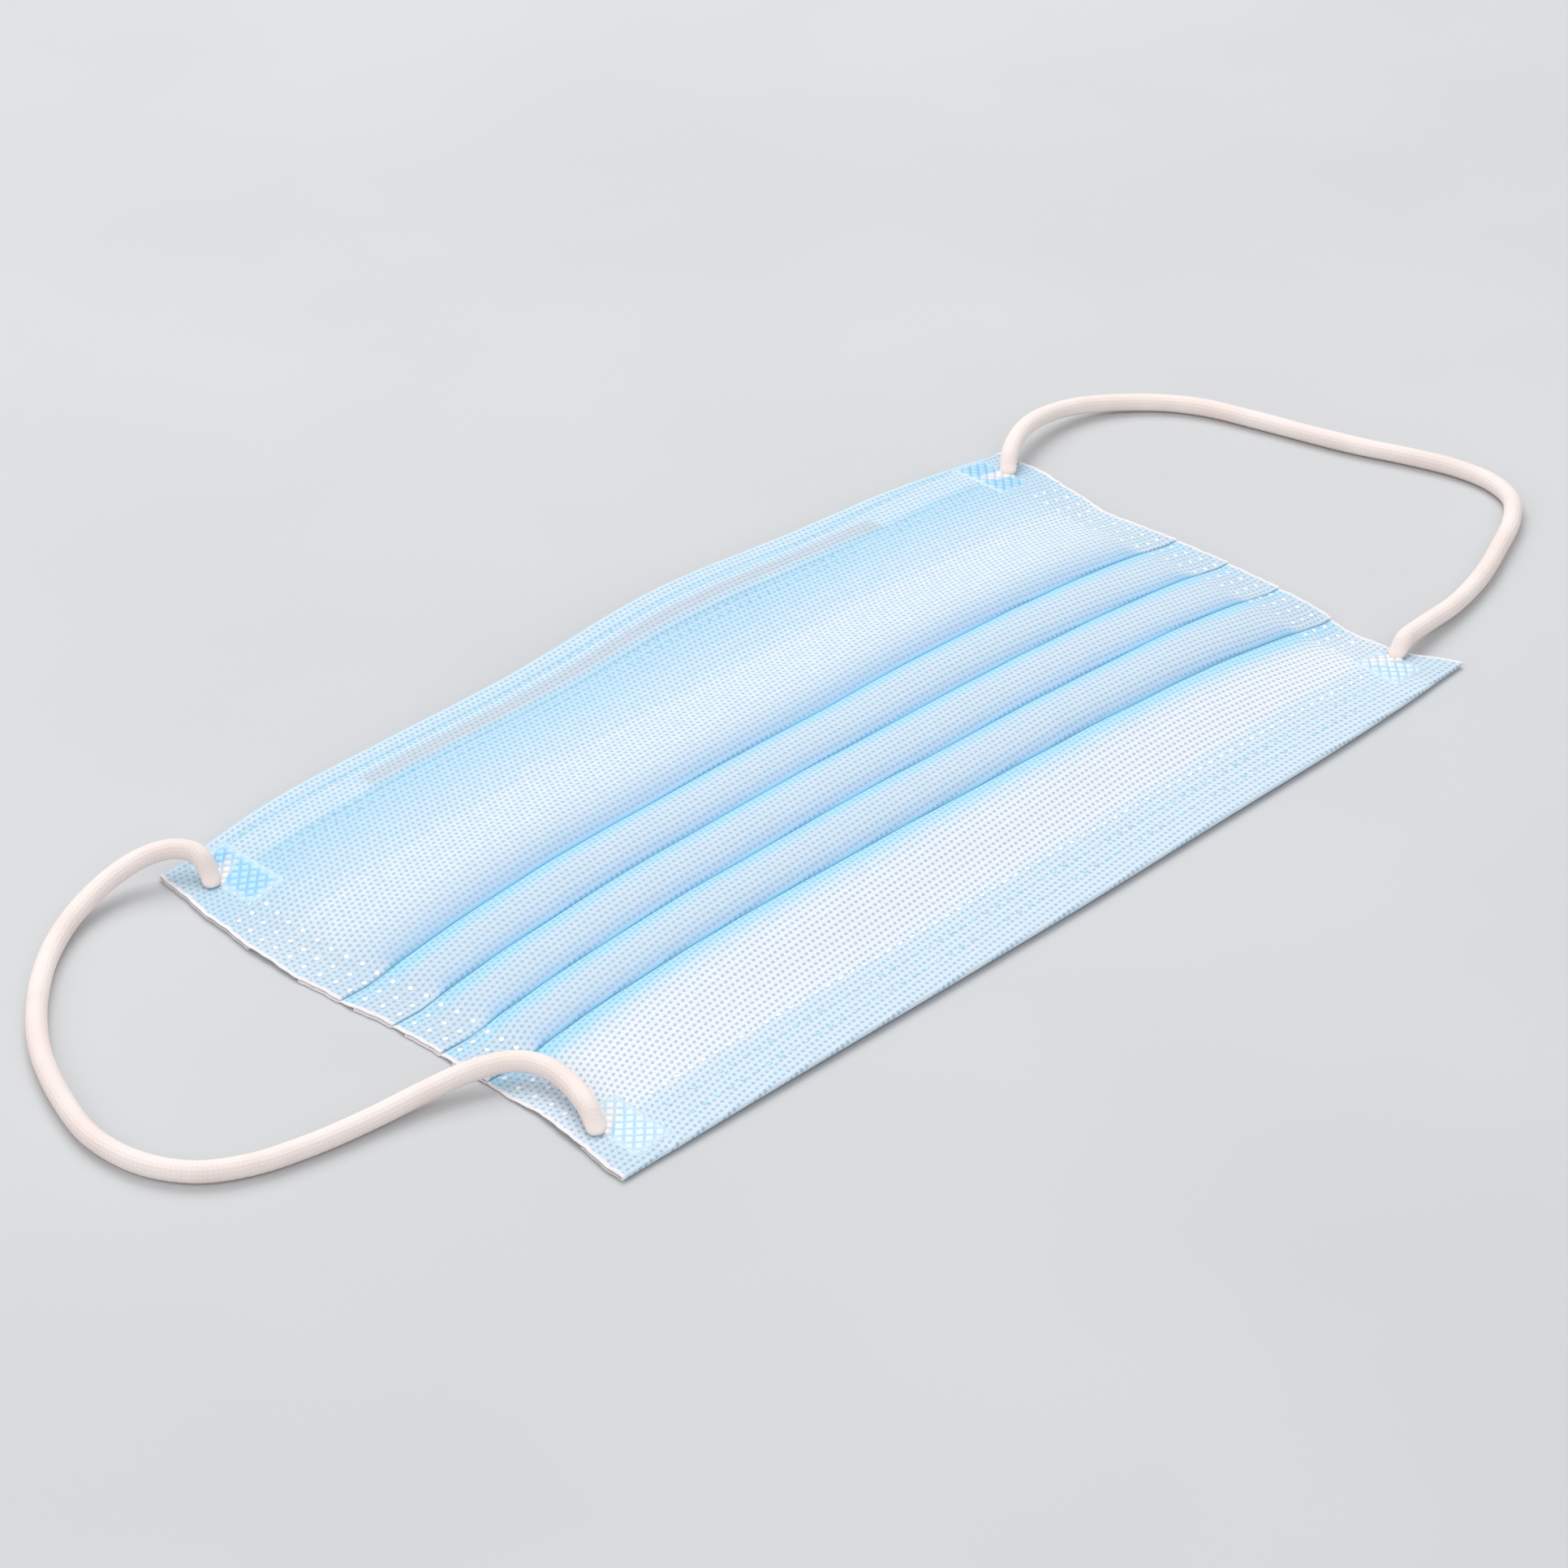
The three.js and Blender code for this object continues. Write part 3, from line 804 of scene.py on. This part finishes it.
def bond_points(tree, mm, x, s):
    """Staggered bond points, each a round dent with a ragged border: 1 in a dent and 0 between them."""
    row = maths(tree, "DIVIDE", s, DOT_PITCH)
    shift = maths(tree, "MULTIPLY", maths(tree, "MODULO", maths(tree, "FLOOR", row), 2.0), 0.5)
    place = maths(tree, "FRACT", maths(tree, "ADD", maths(tree, "DIVIDE", x, DOT_PITCH), shift))
    across = maths(tree, "POWER", maths(tree, "SUBTRACT", place, 0.5), 2.0)
    level = maths(tree, "SUBTRACT", maths(tree, "FRACT", row), 0.5)
    down = maths(tree, "POWER", maths(tree, "MULTIPLY", level, 1.25), 2.0)
    radius = maths(tree, "SQRT", maths(tree, "ADD", across, down))
    fibres = add(tree, "ShaderNodeTexNoise", {"Vector": mm}, {"Scale": 3.2, "Detail": 5.0, "Roughness": 0.65})
    uneven = maths(tree, "MULTIPLY_ADD", fibres.outputs["Fac"], 0.16, -0.08)
    return ramp(tree, maths(tree, "ADD", radius, uneven), 0.19, 0.40, 1.0, 0.0)


def wire_shadow(tree, x, s):
    """The white wire under a single ply makes a greyish band with soft borders: 1 over the wire."""
    off_line = maths(tree, "ABSOLUTE", maths(tree, "SUBTRACT", s, WIRE_S))
    off_middle = maths(tree, "ABSOLUTE", maths(tree, "SUBTRACT", x, WIRE_X + LENGTH / 2))
    band = ramp(tree, off_line, 0.9, 2.1, 1.0, 0.0)
    ends = ramp(tree, off_middle, WIRE_LENGTH / 2 - 0.7, WIRE_LENGTH / 2 + 0.5, 1.0, 0.0)
    return maths(tree, "MULTIPLY", band, ends)


print("bond points every", DOT_PITCH, "mm; the wire lies", round(WIRE_S, 1), "mm along from the join")

# %% [markdown]
# ## From filaments to cloth
#
# The tones are laid over each other from the widest to the smallest: clouds, layers with their painted
# shade, the chin painted lighter, the wire, seams, the painted shade of the lips and the painted light of
# the grooves, and then the dents and the cut edge. The same function makes the blue outer ply, the
# white inner ply and the cut edges, from three lists of tones, so that their patterns match.

# %% Cloth finishes
def spunbond(name, tones, outer):
    """Point-bonded filaments. tones are the cloth's field and clouds, the bonded dents, plies that lie on
    others with painted shade, the chin's single layer painted lighter, the doubled hem, a groove's painted
    cyan light and the painted light at its bottom, a lip's painted shade, the pressed seam and the cut edge."""
    field, cloud, dent, stacked_and_shaded, chin, doubled, groove, glow, lip, pressed, edge = tones
    material, tree, shader = new_material(name)
    sheet_map = add(tree, "ShaderNodeUVMap", uv_map="cut_sheet").outputs[0]
    in_mm = {"Scale": (LENGTH, MAP_HEIGHT, 1.0)}
    mm = add(tree, "ShaderNodeMapping", {"Vector": sheet_map}, in_mm).outputs[0]
    on = add(tree, "ShaderNodeSeparateXYZ", {"Vector": mm})
    x, s = on.outputs["X"], on.outputs["Y"]
    dot = bond_points(tree, mm, x, s)

    clouds = add(tree, "ShaderNodeTexNoise", {"Vector": mm}, {"Scale": 0.5, "Detail": 5.0, "Roughness": 0.62})
    colour = blend_colours(tree, ramp(tree, clouds.outputs["Fac"], 0.35, 0.68), field, cloud)
    # Painted shade on the strips, mixed with the bluer look of plies that lie on others.
    colour = blend_colours(tree, maths(tree, "MULTIPLY", trait(tree, "stacked_and_shaded"), 0.9), colour, stacked_and_shaded)
    # Painted light: the chin panel, its single layer, is made lighter as if lit more fully.
    colour = blend_colours(tree, maths(tree, "MULTIPLY", trait(tree, "chin"), 0.85), colour, chin)
    colour = blend_colours(tree, maths(tree, "MULTIPLY", trait(tree, "doubled"), 0.8), colour, doubled)
    if outer:
        over_wire = maths(tree, "MULTIPLY", wire_shadow(tree, x, s), 0.75)
        colour = blend_colours(tree, over_wire, colour, "#c3cad3")
    colour = blend_colours(tree, ramp(tree, trait(tree, "from_end"), 7.0, 8.4, 0.5, 0.0), colour, pressed)
    # Painted shade: grey-blue where a strip curves down to its lip, partly also the denser fold.
    colour = blend_colours(tree, ramp(tree, trait(tree, "lip"), 0.05, 1.0, 0.0, 0.68), colour, lip)
    # Painted light: cyan in the grooves and on the next rising flank, for light through the blue folds.
    colour = blend_colours(tree, ramp(tree, trait(tree, "groove"), 0.05, 0.9, 0.0, 0.95), colour, groove)
    # Painted light: a pale tone at a groove's bottom stands in for light through the thin folded plies.
    deep = maths(tree, "SUBTRACT", trait(tree, "groove"), 1.0)
    colour = blend_colours(tree, ramp(tree, deep, 0.1, 0.8, 0.0, 0.9), colour, glow)
    shown = maths(tree, "MULTIPLY", dot, ramp(tree, deep, 0.0, 0.6, 0.68, 0.15))
    colour = blend_colours(tree, shown, colour, dent)
    ragged = maths(tree, "MULTIPLY_ADD", clouds.outputs["Fac"], 0.9, -0.45)
    cut = ramp(tree, maths(tree, "ADD", trait(tree, "from_end"), ragged), 0.35, 0.7, 1.0, 0.0)
    colour = blend_colours(tree, cut, colour, edge)
    tree.links.new(colour, shader.inputs["Base Color"])

    fine = add(tree, "ShaderNodeTexNoise", {"Vector": mm}, {"Scale": 9.0, "Detail": 4.0, "Roughness": 0.7})
    height = maths(tree, "MULTIPLY_ADD", fine.outputs["Fac"], 0.35, maths(tree, "MULTIPLY", dot, -1.0))
    bump = add(tree, "ShaderNodeBump", {"Height": height}, {"Strength": 0.5, "Distance": 0.10 * MM})
    tree.links.new(bump.outputs["Normal"], shader.inputs["Normal"])
    tree.links.new(ramp(tree, dot, 0.0, 1.0, 0.78, 0.5), shader.inputs["Roughness"])
    shader.inputs["Specular IOR Level"].default_value = 0.3
    shader.inputs["Sheen Weight"].default_value = 0.12
    shader.inputs["Sheen Roughness"].default_value = 0.4
    shader.inputs["Subsurface Weight"].default_value = 0.3
    shader.inputs["Subsurface Radius"].default_value = (1.0, 1.0, 1.0)
    shader.inputs["Subsurface Scale"].default_value = 0.6 * MM
    return material


# Painted shade: tones 4 (with the layered plies) and 9; painted light: tones 5, 7 and 8.
BLUE = ("#d6e3ed", "#dee9f1", "#8dafc9", "#ccdcea", "#ebeef3",
        "#abd6ee", "#a9defa", "#d4f1ff", "#9cc3e8", "#c6dcec", "#f2eced")
WHITE = ("#dde1e6", "#e4e7eb", "#b9c1cb", "#dbe0e6", "#dde1e6",
         "#d3dce6", "#d8dfe8", "#e6ebf1", "#dbe0e6", "#d6dce4", "#f2eced")
EDGES = ("#f6f2f2", "#faf7f7", "#ebe6e6", "#f6f2f2", "#f6f2f2",
         "#f6f2f2", "#eeebee", "#f6f2f2", "#f6f2f2", "#f6f2f2", "#f8f4f4")
OUTER_CLOTH = spunbond("spunbond_polypropylene_blue", BLUE, True)
INNER_CLOTH = spunbond("spunbond_polypropylene_white", WHITE, False)
CUT_EDGE = spunbond("hot_cut_ply_edges", EDGES, False)
print("three cloth finishes")

# %% [markdown]
# ## Give the sheet its thickness
#
# The folded sheet is still only a surface. The Solidify modifier thickens it, as it would by hand. A
# vertex group makes it thin where the side seams press the plies together, and three finishes tell the
# blue outer face, the white inner face and the white cut edges apart.

# %% Give the sheet its thickness
def thicken(made, thickness):
    """Solid cloth, thin where the side seams press it: its outer face, inner face and cut edges take the
    first, second and third finish."""
    choose(made)
    loose = made.vertex_groups.new(name="loose")
    for v in made.data.vertices:
        loose.add([v.index], openness(v.co.x / MM), "REPLACE")
    for finish in (OUTER_CLOTH, INNER_CLOTH, CUT_EDGE):
        made.data.materials.append(finish)
    solid = made.modifiers.new("plies", "SOLIDIFY")
    solid.thickness = thickness * MM
    solid.offset = 0
    solid.vertex_group = loose.name
    solid.thickness_vertex_group = SEAM_PLY / PLY
    solid.use_even_offset = False
    solid.material_offset = 1
    solid.material_offset_rim = 2
    bpy.ops.object.modifier_apply(modifier=solid.name)
    bpy.ops.object.shade_smooth_by_angle(angle=math.radians(50))


thicken(panel, PLY)
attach(panel, "root")
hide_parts("pleated_panel")
print("panel:", len(panel.data.polygons), "faces")

# %% [markdown]
# ## The turned-in hems
#
# Along both long edges the outer ply wraps round and lies against the inside, as a blue band on the
# white: broad at the nose, where it closes the wire's pocket, and narrow at the chin. Each is a sheet
# of its own that starts where the panel's folded edge ends, so that the join is out of sight below.

# %% Hems
HEM_MAP_START = 24.0  # the hems' dots start at another place of the pattern
NOSE_HEM_END, CHIN_HEM_END = 25.5, -38.2  # where the turned-in plies stop, inside the mask
WIRE_DROOP, HANG = 0.22, 0.12  # the wire pushes the ply down; its free edge hangs a little lower


def hem(name, node, from_y, to_y, hem_rows):
    """A turned-in ply from the folded edge to its free edge, its blue face down."""
    lines = np.linspace(0, 1, hem_rows + 1)
    hem_columns = 140
    places = np.zeros((hem_columns + 1, hem_rows + 1, 3))
    maps = np.zeros((hem_columns + 1, hem_rows + 1, 2))
    ends = np.zeros((hem_columns + 1, hem_rows + 1))
    for i, x in enumerate(np.linspace(-LENGTH / 2, LENGTH / 2, hem_columns + 1)):
        y = from_y(x) + (to_y - from_y(x)) * lines
        free = ease(np.abs(y - from_y(x)), 6, abs(to_y - from_y(x)))
        hanging = HANG * free * float(fullness(x, 6)) * ease(underside(x, y), 0.3, 1)
        pushed = WIRE_DROOP * wire_ridge(x, y)
        z = underside(x, y) + HEM_LEVEL + settled_waves(x, y) - pushed - hanging
        places[i] = np.stack([place_along(x, y), y, z], 1)
        maps[i] = np.stack([np.full_like(y, (x + LENGTH / 2) / LENGTH),
                            (HEM_MAP_START + np.abs(y - from_y(x))) / MAP_HEIGHT], 1)
        ends[i] = LENGTH / 2 - abs(x)
    made = flat_grid(name, hem_columns, hem_rows)
    flat = np.zeros_like(ends)
    fold(made, places, maps,
         {"groove": flat, "lip": flat, "stacked_and_shaded": flat, "chin": flat, "doubled": flat + 0.8,
          "from_end": ends})
    if to_y < from_y(0.0):
        choose(made)
        bpy.ops.object.mode_set(mode="EDIT")
        bpy.ops.mesh.select_all(action="SELECT")
        bpy.ops.mesh.flip_normals()
        bpy.ops.object.mode_set(mode="OBJECT")
    thicken(made, PLY * 0.8)
    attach(made, "root")
    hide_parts(node)
    abs(to_y - from_y(0.0)) * MM
    return made


def nose_fold(x):
    return nose_edge_at(x) - PLY / 2 - EDGE_RADIUS


def chin_fold(x):
    return chin_edge_at(x) + PLY / 2 + EDGE_RADIUS


nose_hem = hem("nose_hem_cloth", "nose_hem", nose_fold, NOSE_HEM_END, 30)
chin_hem = hem("chin_hem_cloth", "chin_hem", chin_fold, CHIN_HEM_END, 18)
print("hems:", len(nose_hem.data.polygons), "and", len(chin_hem.data.polygons), "faces")

# %% [markdown]
# ## The nose wire
#
# A flat plastic-coated wire, about 3 mm wide, lies in the pocket under the outer ply. It is a bar that
# is cut into short lengths, rounded at its edges and laid along the arch of the nose edge.

# %% Nose wire
def coated_wire():
    """Polyethylene over two thin steel cores: smooth, white, slightly waxy."""
    material, tree, shader = new_material("polyethylene_coated_wire")
    place = add(tree, "ShaderNodeTexCoord").outputs["Object"]
    streaks = add(tree, "ShaderNodeTexNoise", {"Vector": place}, {"Scale": 260.0, "Detail": 2.0})
    colour = blend_colours(tree, ramp(tree, streaks.outputs["Fac"], 0.35, 0.65), "#dcdde3", "#e9e7ea")
    tree.links.new(colour, shader.inputs["Base Color"])
    shader.inputs["Roughness"].default_value = 0.42
    shader.inputs["IOR"].default_value = 1.5
    return material


def nose_wire():
    bpy.ops.object.select_all(action="DESELECT")
    bpy.ops.mesh.primitive_cube_add(size=1)
    made = bpy.context.object
    made.name = made.data.name = "nose_wire_strip"
    made.scale = (WIRE_LENGTH * MM, (WIRE_WIDTH - 0.3) * MM, 0.5 * MM)
    made.location = (WIRE_X * MM, WIRE_Y * MM, 0)
    bpy.ops.object.transform_apply(location=True, rotation=False, scale=True)
    bevel = made.modifiers.new("round", "BEVEL")
    bevel.width, bevel.segments = 0.22 * MM, 3
    bpy.ops.object.modifier_apply(modifier=bevel.name)
    # Cut across into short lengths, so that it can take the arch.
    bpy.ops.object.mode_set(mode="EDIT")
    for cut in np.arange(-WIRE_LENGTH / 2 + 2, WIRE_LENGTH / 2 - 1, 2.0):
        bpy.ops.mesh.select_all(action="SELECT")
        bpy.ops.mesh.bisect(plane_co=((WIRE_X + cut) * MM, 0, 0), plane_no=(1, 0, 0))
    bpy.ops.object.mode_set(mode="OBJECT")
    for v in made.data.vertices:
        v.co.z += (float(underside(v.co.x / MM, v.co.y / MM)) + (PANEL_LEVEL + HEM_LEVEL) / 2 + 0.06) * MM
    made.data.materials.append(coated_wire())
    bpy.ops.object.shade_smooth_by_angle(angle=math.radians(40))
    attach(made, "root")
    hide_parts("nose_wire")
    return made


wire = nose_wire()
print("nose wire:", len(wire.data.polygons), "faces")

# %% [markdown]
# ## Hot-spot welds
#
# The plies are held together by small spots that a heated wheel melts through: three columns down each
# end, one bright row and two faint ones along the chin, and rows on both sides of the wire. Each spot is
# a fused, slightly glossy pip that shows on both faces. To find the cloth under each place, a ray is
# dropped onto the folded sheet, from above for the outer face and from below for the inner one.

# %% Drop points onto the cloth
def surface_of(pieces, side):
    """Finds the outermost cloth of the pieces at x, y in millimetres; side is +1 for the upper face."""
    trees = [BVHTree.FromObject(made, bpy.context.evaluated_depsgraph_get()) for made in pieces]

    def drop(x, y):
        start, way = Vector((x * MM, y * MM, side * 30 * MM)), Vector((0, 0, -side))
        hits = [hit for hit in (tree.ray_cast(start, way) for tree in trees) if hit[0] is not None]
        if not hits:
            return None
        place, normal, _, _ = min(hits, key=lambda hit: hit[3])
        return place / MM, normal

    return drop


cloth_at = surface_of([panel], 1)
inside_at = surface_of([panel, nose_hem, chin_hem], -1)
for route in (LEFT_ROUTE, RIGHT_ROUTE):
    for x, y, z in (route[0], route[-1]):
        print("cloth under a loop end:", x, y, round(cloth_at(x, y)[0].z, 2), "mm; the route ends at", z)
print("cloth over the middle:", round(cloth_at(0, 20)[0].z, 2), "mm above the table")

# %% [markdown]
# ## Pips in rows
#
# One pip is modelled as a flattened ball and copied along the rows, and each copy is turned to lie on
# the cloth. A bump in the material would be cheaper, but it would not stand up at the outline of the
# seams. The rows are short formulas, because a wheel with even teeth makes them on the real mask.

# %% Weld spots
def fused_spot_finish(name, low, high):
    """Polypropylene melted through and set again: closed, slightly glossy, between two tones."""
    material, tree, shader = new_material(name)
    place = add(tree, "ShaderNodeTexCoord").outputs["Object"]
    grain = add(tree, "ShaderNodeTexNoise", {"Vector": place}, {"Scale": 900.0, "Detail": 2.0})
    colour = blend_colours(tree, ramp(tree, grain.outputs["Fac"], 0.3, 0.7), low, high)
    tree.links.new(colour, shader.inputs["Base Color"])
    shader.inputs["Roughness"].default_value = 0.35
    shader.inputs["IOR"].default_value = 1.49
    return material


FUSED_WHITE = fused_spot_finish("fused_spot_white", "#edf5fa", "#fbfdfe")
FUSED_CYAN = fused_spot_finish("fused_spot_cyan", "#a6daf5", "#c3e7f8")
FUSED_BLUE = fused_spot_finish("fused_spot_blue", "#83c6ee", "#a3d8f5")
PIP_SEGMENTS, PIP_RINGS = 10, 4


def pip_shape(length, width, height):
    """One fused spot: a ball flattened to its size."""
    bpy.ops.object.select_all(action="DESELECT")
    bpy.ops.mesh.primitive_uv_sphere_add(segments=PIP_SEGMENTS, ring_count=PIP_RINGS, radius=0.5)
    made = bpy.context.object
    made.scale = (length * MM, width * MM, height * 2 * MM)
    bpy.ops.object.transform_apply(location=False, rotation=False, scale=True)
    points = np.array([v.co[:] for v in made.data.vertices])
    # Blender lists a new sphere's faces in an order that changes from run to run, so they are sorted here.
    faces = sorted((tuple(p.vertices) for p in made.data.polygons), key=sorted)
    bpy.data.objects.remove(made, do_unlink=True)
    return points, faces


def weld_spots(name, spots, size, finish):
    """Copies of one pip on both faces at every (x, y) that falls on the cloth, joined as one piece."""
    pip, pip_faces = pip_shape(*size)
    points, faces = [], []
    for hit in [face(x, y) for face in (cloth_at, inside_at) for x, y in spots]:
        if hit is None:
            continue
        place, normal = hit
        spin = normal.to_track_quat("Z", "Y").to_matrix()
        start = len(points) * len(pip)
        points.append(pip @ np.array(spin).T + np.array(place * MM))
        faces += [tuple(start + v for v in face) for face in pip_faces]
    mesh = bpy.data.meshes.new(name)
    mesh.from_pydata(np.vstack(points).tolist(), [], faces)
    made = bpy.data.objects.new(name, mesh)
    bpy.context.collection.objects.link(made)
    made.data.materials.append(finish)
    choose(made)
    bpy.ops.object.shade_smooth()
    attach(made, "root")
    print(name, len(points), "spots")
    return made


def seam_spots(sign):
    """Three columns that follow the cut end, from the nose hem to the chin weld."""
    spots = []
    for y in np.arange(31.0, -34.0, -2.87):
        for offset in (2.35, 4.75, 7.15):
            x = float(place_along(sign * LENGTH / 2, y)) - sign * offset
            spots.append((x, y + 0.12 * math.sin(7 * y + offset)))
    return spots


def long_rows(rows_given, pitch, from_x, to_x):
    """Staggered rows along the mask, each at its y, which may lean a little from left to right."""
    spots = []
    for index, (left_y, right_y) in enumerate(rows_given):
        for x in np.arange(from_x + index % 2 * pitch / 2, to_x, pitch):
            share = (x - from_x) / (to_x - from_x)
            spots.append((x, left_y + (right_y - left_y) * share))
    return spots


weld_spots("seam_spots_left", seam_spots(-1), (0.95, 0.8, 0.06), FUSED_WHITE)
weld_spots("seam_spots_right", seam_spots(1), (0.95, 0.8, 0.06), FUSED_WHITE)
chin_bright = long_rows([(-37.5, -40.2)], 2.3, -72, 73)
chin_faint = long_rows([(-40.7, -42.6), (-43.9, -45.2)], 2.3, -72, 73)
nose_rows = long_rows([(45.4, 45.0), (38.9, 38.2), (37.0, 36.4)], 2.1, -73, 73)
weld_spots("chin_row_bright", chin_bright, (1.15, 0.6, 0.10), FUSED_WHITE)
weld_spots("chin_rows_faint", chin_faint, (1.0, 0.5, 0.06), FUSED_CYAN)
weld_spots("nose_rows", nose_rows, (0.8, 0.42, 0.04), FUSED_BLUE)

# %% [markdown]
# ## Ear loop welds
#
# Each loop's end is pressed flat on the outer face under a horn with a diamond grid. The pad is a fine
# sheet of its own that follows the cloth, with the grid's small pyramids raised on it, and a swelling
# where the flattened end of the elastic lies under the grid. A bump map would show the grid from above
# but leave the pad's surface flat, and the mesh itself would have no grid at all.

# %% Loop weld pads
LOOP_WELDS = [
    # name, left x, right x, low y, high y, and the flattened end of the loop: from x, y to x, y
    ("nose_left", -82.2, -75.4, 32.5, 46.3, (-82.9, 39.9), (-77.0, 42.3)),
    ("nose_right", 74.6, 82.4, 34.0, 45.8, (81.2, 39.0), (75.4, 40.1)),
    ("chin_left", -82.2, -75.3, -45.4, -34.0, (-82.3, -38.6), (-76.8, -35.2)),
    ("chin_right", 75.2, 82.2, -45.4, -36.6, (81.2, -40.2), (76.6, -37.8)),
]
DIAMOND = 1.32  # from one ridge of the horn's grid to the next
PAD_STEP = 0.17


def pad_finish(name, valley, cell):
    """Fused cloth under the horn: closed, slightly glossy, whiter where the elastic is melted in."""
    material, tree, shader = new_material(name)
    near = add(tree, "ShaderNodeAttribute", attribute_name="elastic").outputs["Fac"]
    peak = add(tree, "ShaderNodeAttribute", attribute_name="pyramid").outputs["Fac"]
    cloth = blend_colours(tree, ramp(tree, peak, 0.15, 0.6), valley, cell)
    cloth = blend_colours(tree, ramp(tree, trait(tree, "inside"), 0.1, 0.9), "#cbe0ee", cloth)
    melted = blend_colours(tree, ramp(tree, peak, 0.1, 0.6), "#c9d5e0", "#f1ebe9")
    colour = blend_colours(tree, ramp(tree, near, 0.25, 0.75), cloth, melted)
    tree.links.new(colour, shader.inputs["Base Color"])
    place = add(tree, "ShaderNodeTexCoord").outputs["Object"]
    grain = add(tree, "ShaderNodeTexNoise", {"Vector": place}, {"Scale": 1500.0, "Detail": 2.0})
    relief = {"Strength": 0.2, "Distance": 0.03 * MM}
    bump = add(tree, "ShaderNodeBump", {"Height": grain.outputs["Fac"]}, relief)
    tree.links.new(bump.outputs["Normal"], shader.inputs["Normal"])
    shader.inputs["Roughness"].default_value = 0.38
    shader.inputs["IOR"].default_value = 1.49
    return material


NOSE_PAD = pad_finish("fused_loop_weld_deep", "#86c2e8", "#b0daf0")
CHIN_PAD = pad_finish("fused_loop_weld_pale", "#aed0e6", "#dbedf6")


def loop_weld(name, left, right, low, high, tail_from, tail_to):
    columns, rows_here = round((right - left) / PAD_STEP), round((high - low) / PAD_STEP)
    places = np.zeros((columns + 1, rows_here + 1, 3))
    maps = np.zeros((columns + 1, rows_here + 1, 2))
    elastic = np.zeros((columns + 1, rows_here + 1))
    pyramid = np.zeros((columns + 1, rows_here + 1))
    well_inside = np.zeros((columns + 1, rows_here + 1))
    start, stop = Vector(tail_from), Vector(tail_to)
    for i, x in enumerate(np.linspace(left, right, columns + 1)):
        for j, y in enumerate(np.linspace(high, low, rows_here + 1)):
            place, _ = cloth_at(x, y)
            inside = min(x - left, right - x, y - low, high - y)
            border = float(ease(inside, 0.0, 0.7))
            a, b = (x + y) / (DIAMOND * math.sqrt(2)), (x - y) / (DIAMOND * math.sqrt(2))
            peak = min(1 - abs(2 * (a % 1) - 1), 1 - abs(2 * (b % 1) - 1))
            peak = float(ease(peak, 0.08, 0.5))
            span = stop - start
            share = min(1, max(0, (Vector((x, y)) - start).dot(span) / span.length_squared))
            aside = (Vector((x, y)) - start - span * share).length
            tail = float(1 - ease(aside, 0.7, 2.0)) * (1 - 0.6 * share)
            pyramid[i, j], elastic[i, j] = peak * border, tail
            well_inside[i, j] = min(1.0, inside / 1.8)
            rise = -0.03 + 0.06 * border + 0.15 * peak * border + (0.42 - 0.22 * share) * tail * border
            places[i, j] = (x, y, place.z + rise)
            maps[i, j] = (i / columns, j / rows_here)
    made = flat_grid(f"loop_weld_{name}_pad", columns, rows_here)
    traits = {"elastic": elastic, "pyramid": pyramid, "inside": well_inside}
    fold(made, places, maps, traits)
    made.data.materials.append(NOSE_PAD if name.startswith("nose") else CHIN_PAD)
    choose(made)
    solid = made.modifiers.new("film", "SOLIDIFY")
    solid.thickness, solid.offset = 0.12 * MM, -1
    bpy.ops.object.modifier_apply(modifier=solid.name)
    bpy.ops.object.shade_smooth_by_angle(angle=math.radians(60))
    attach(made, "root")
    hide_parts(f"loop_weld_{name}")
    return made


for weld in LOOP_WELDS:
    pad = loop_weld(*weld)
    print(pad.name, len(pad.data.polygons), "faces")
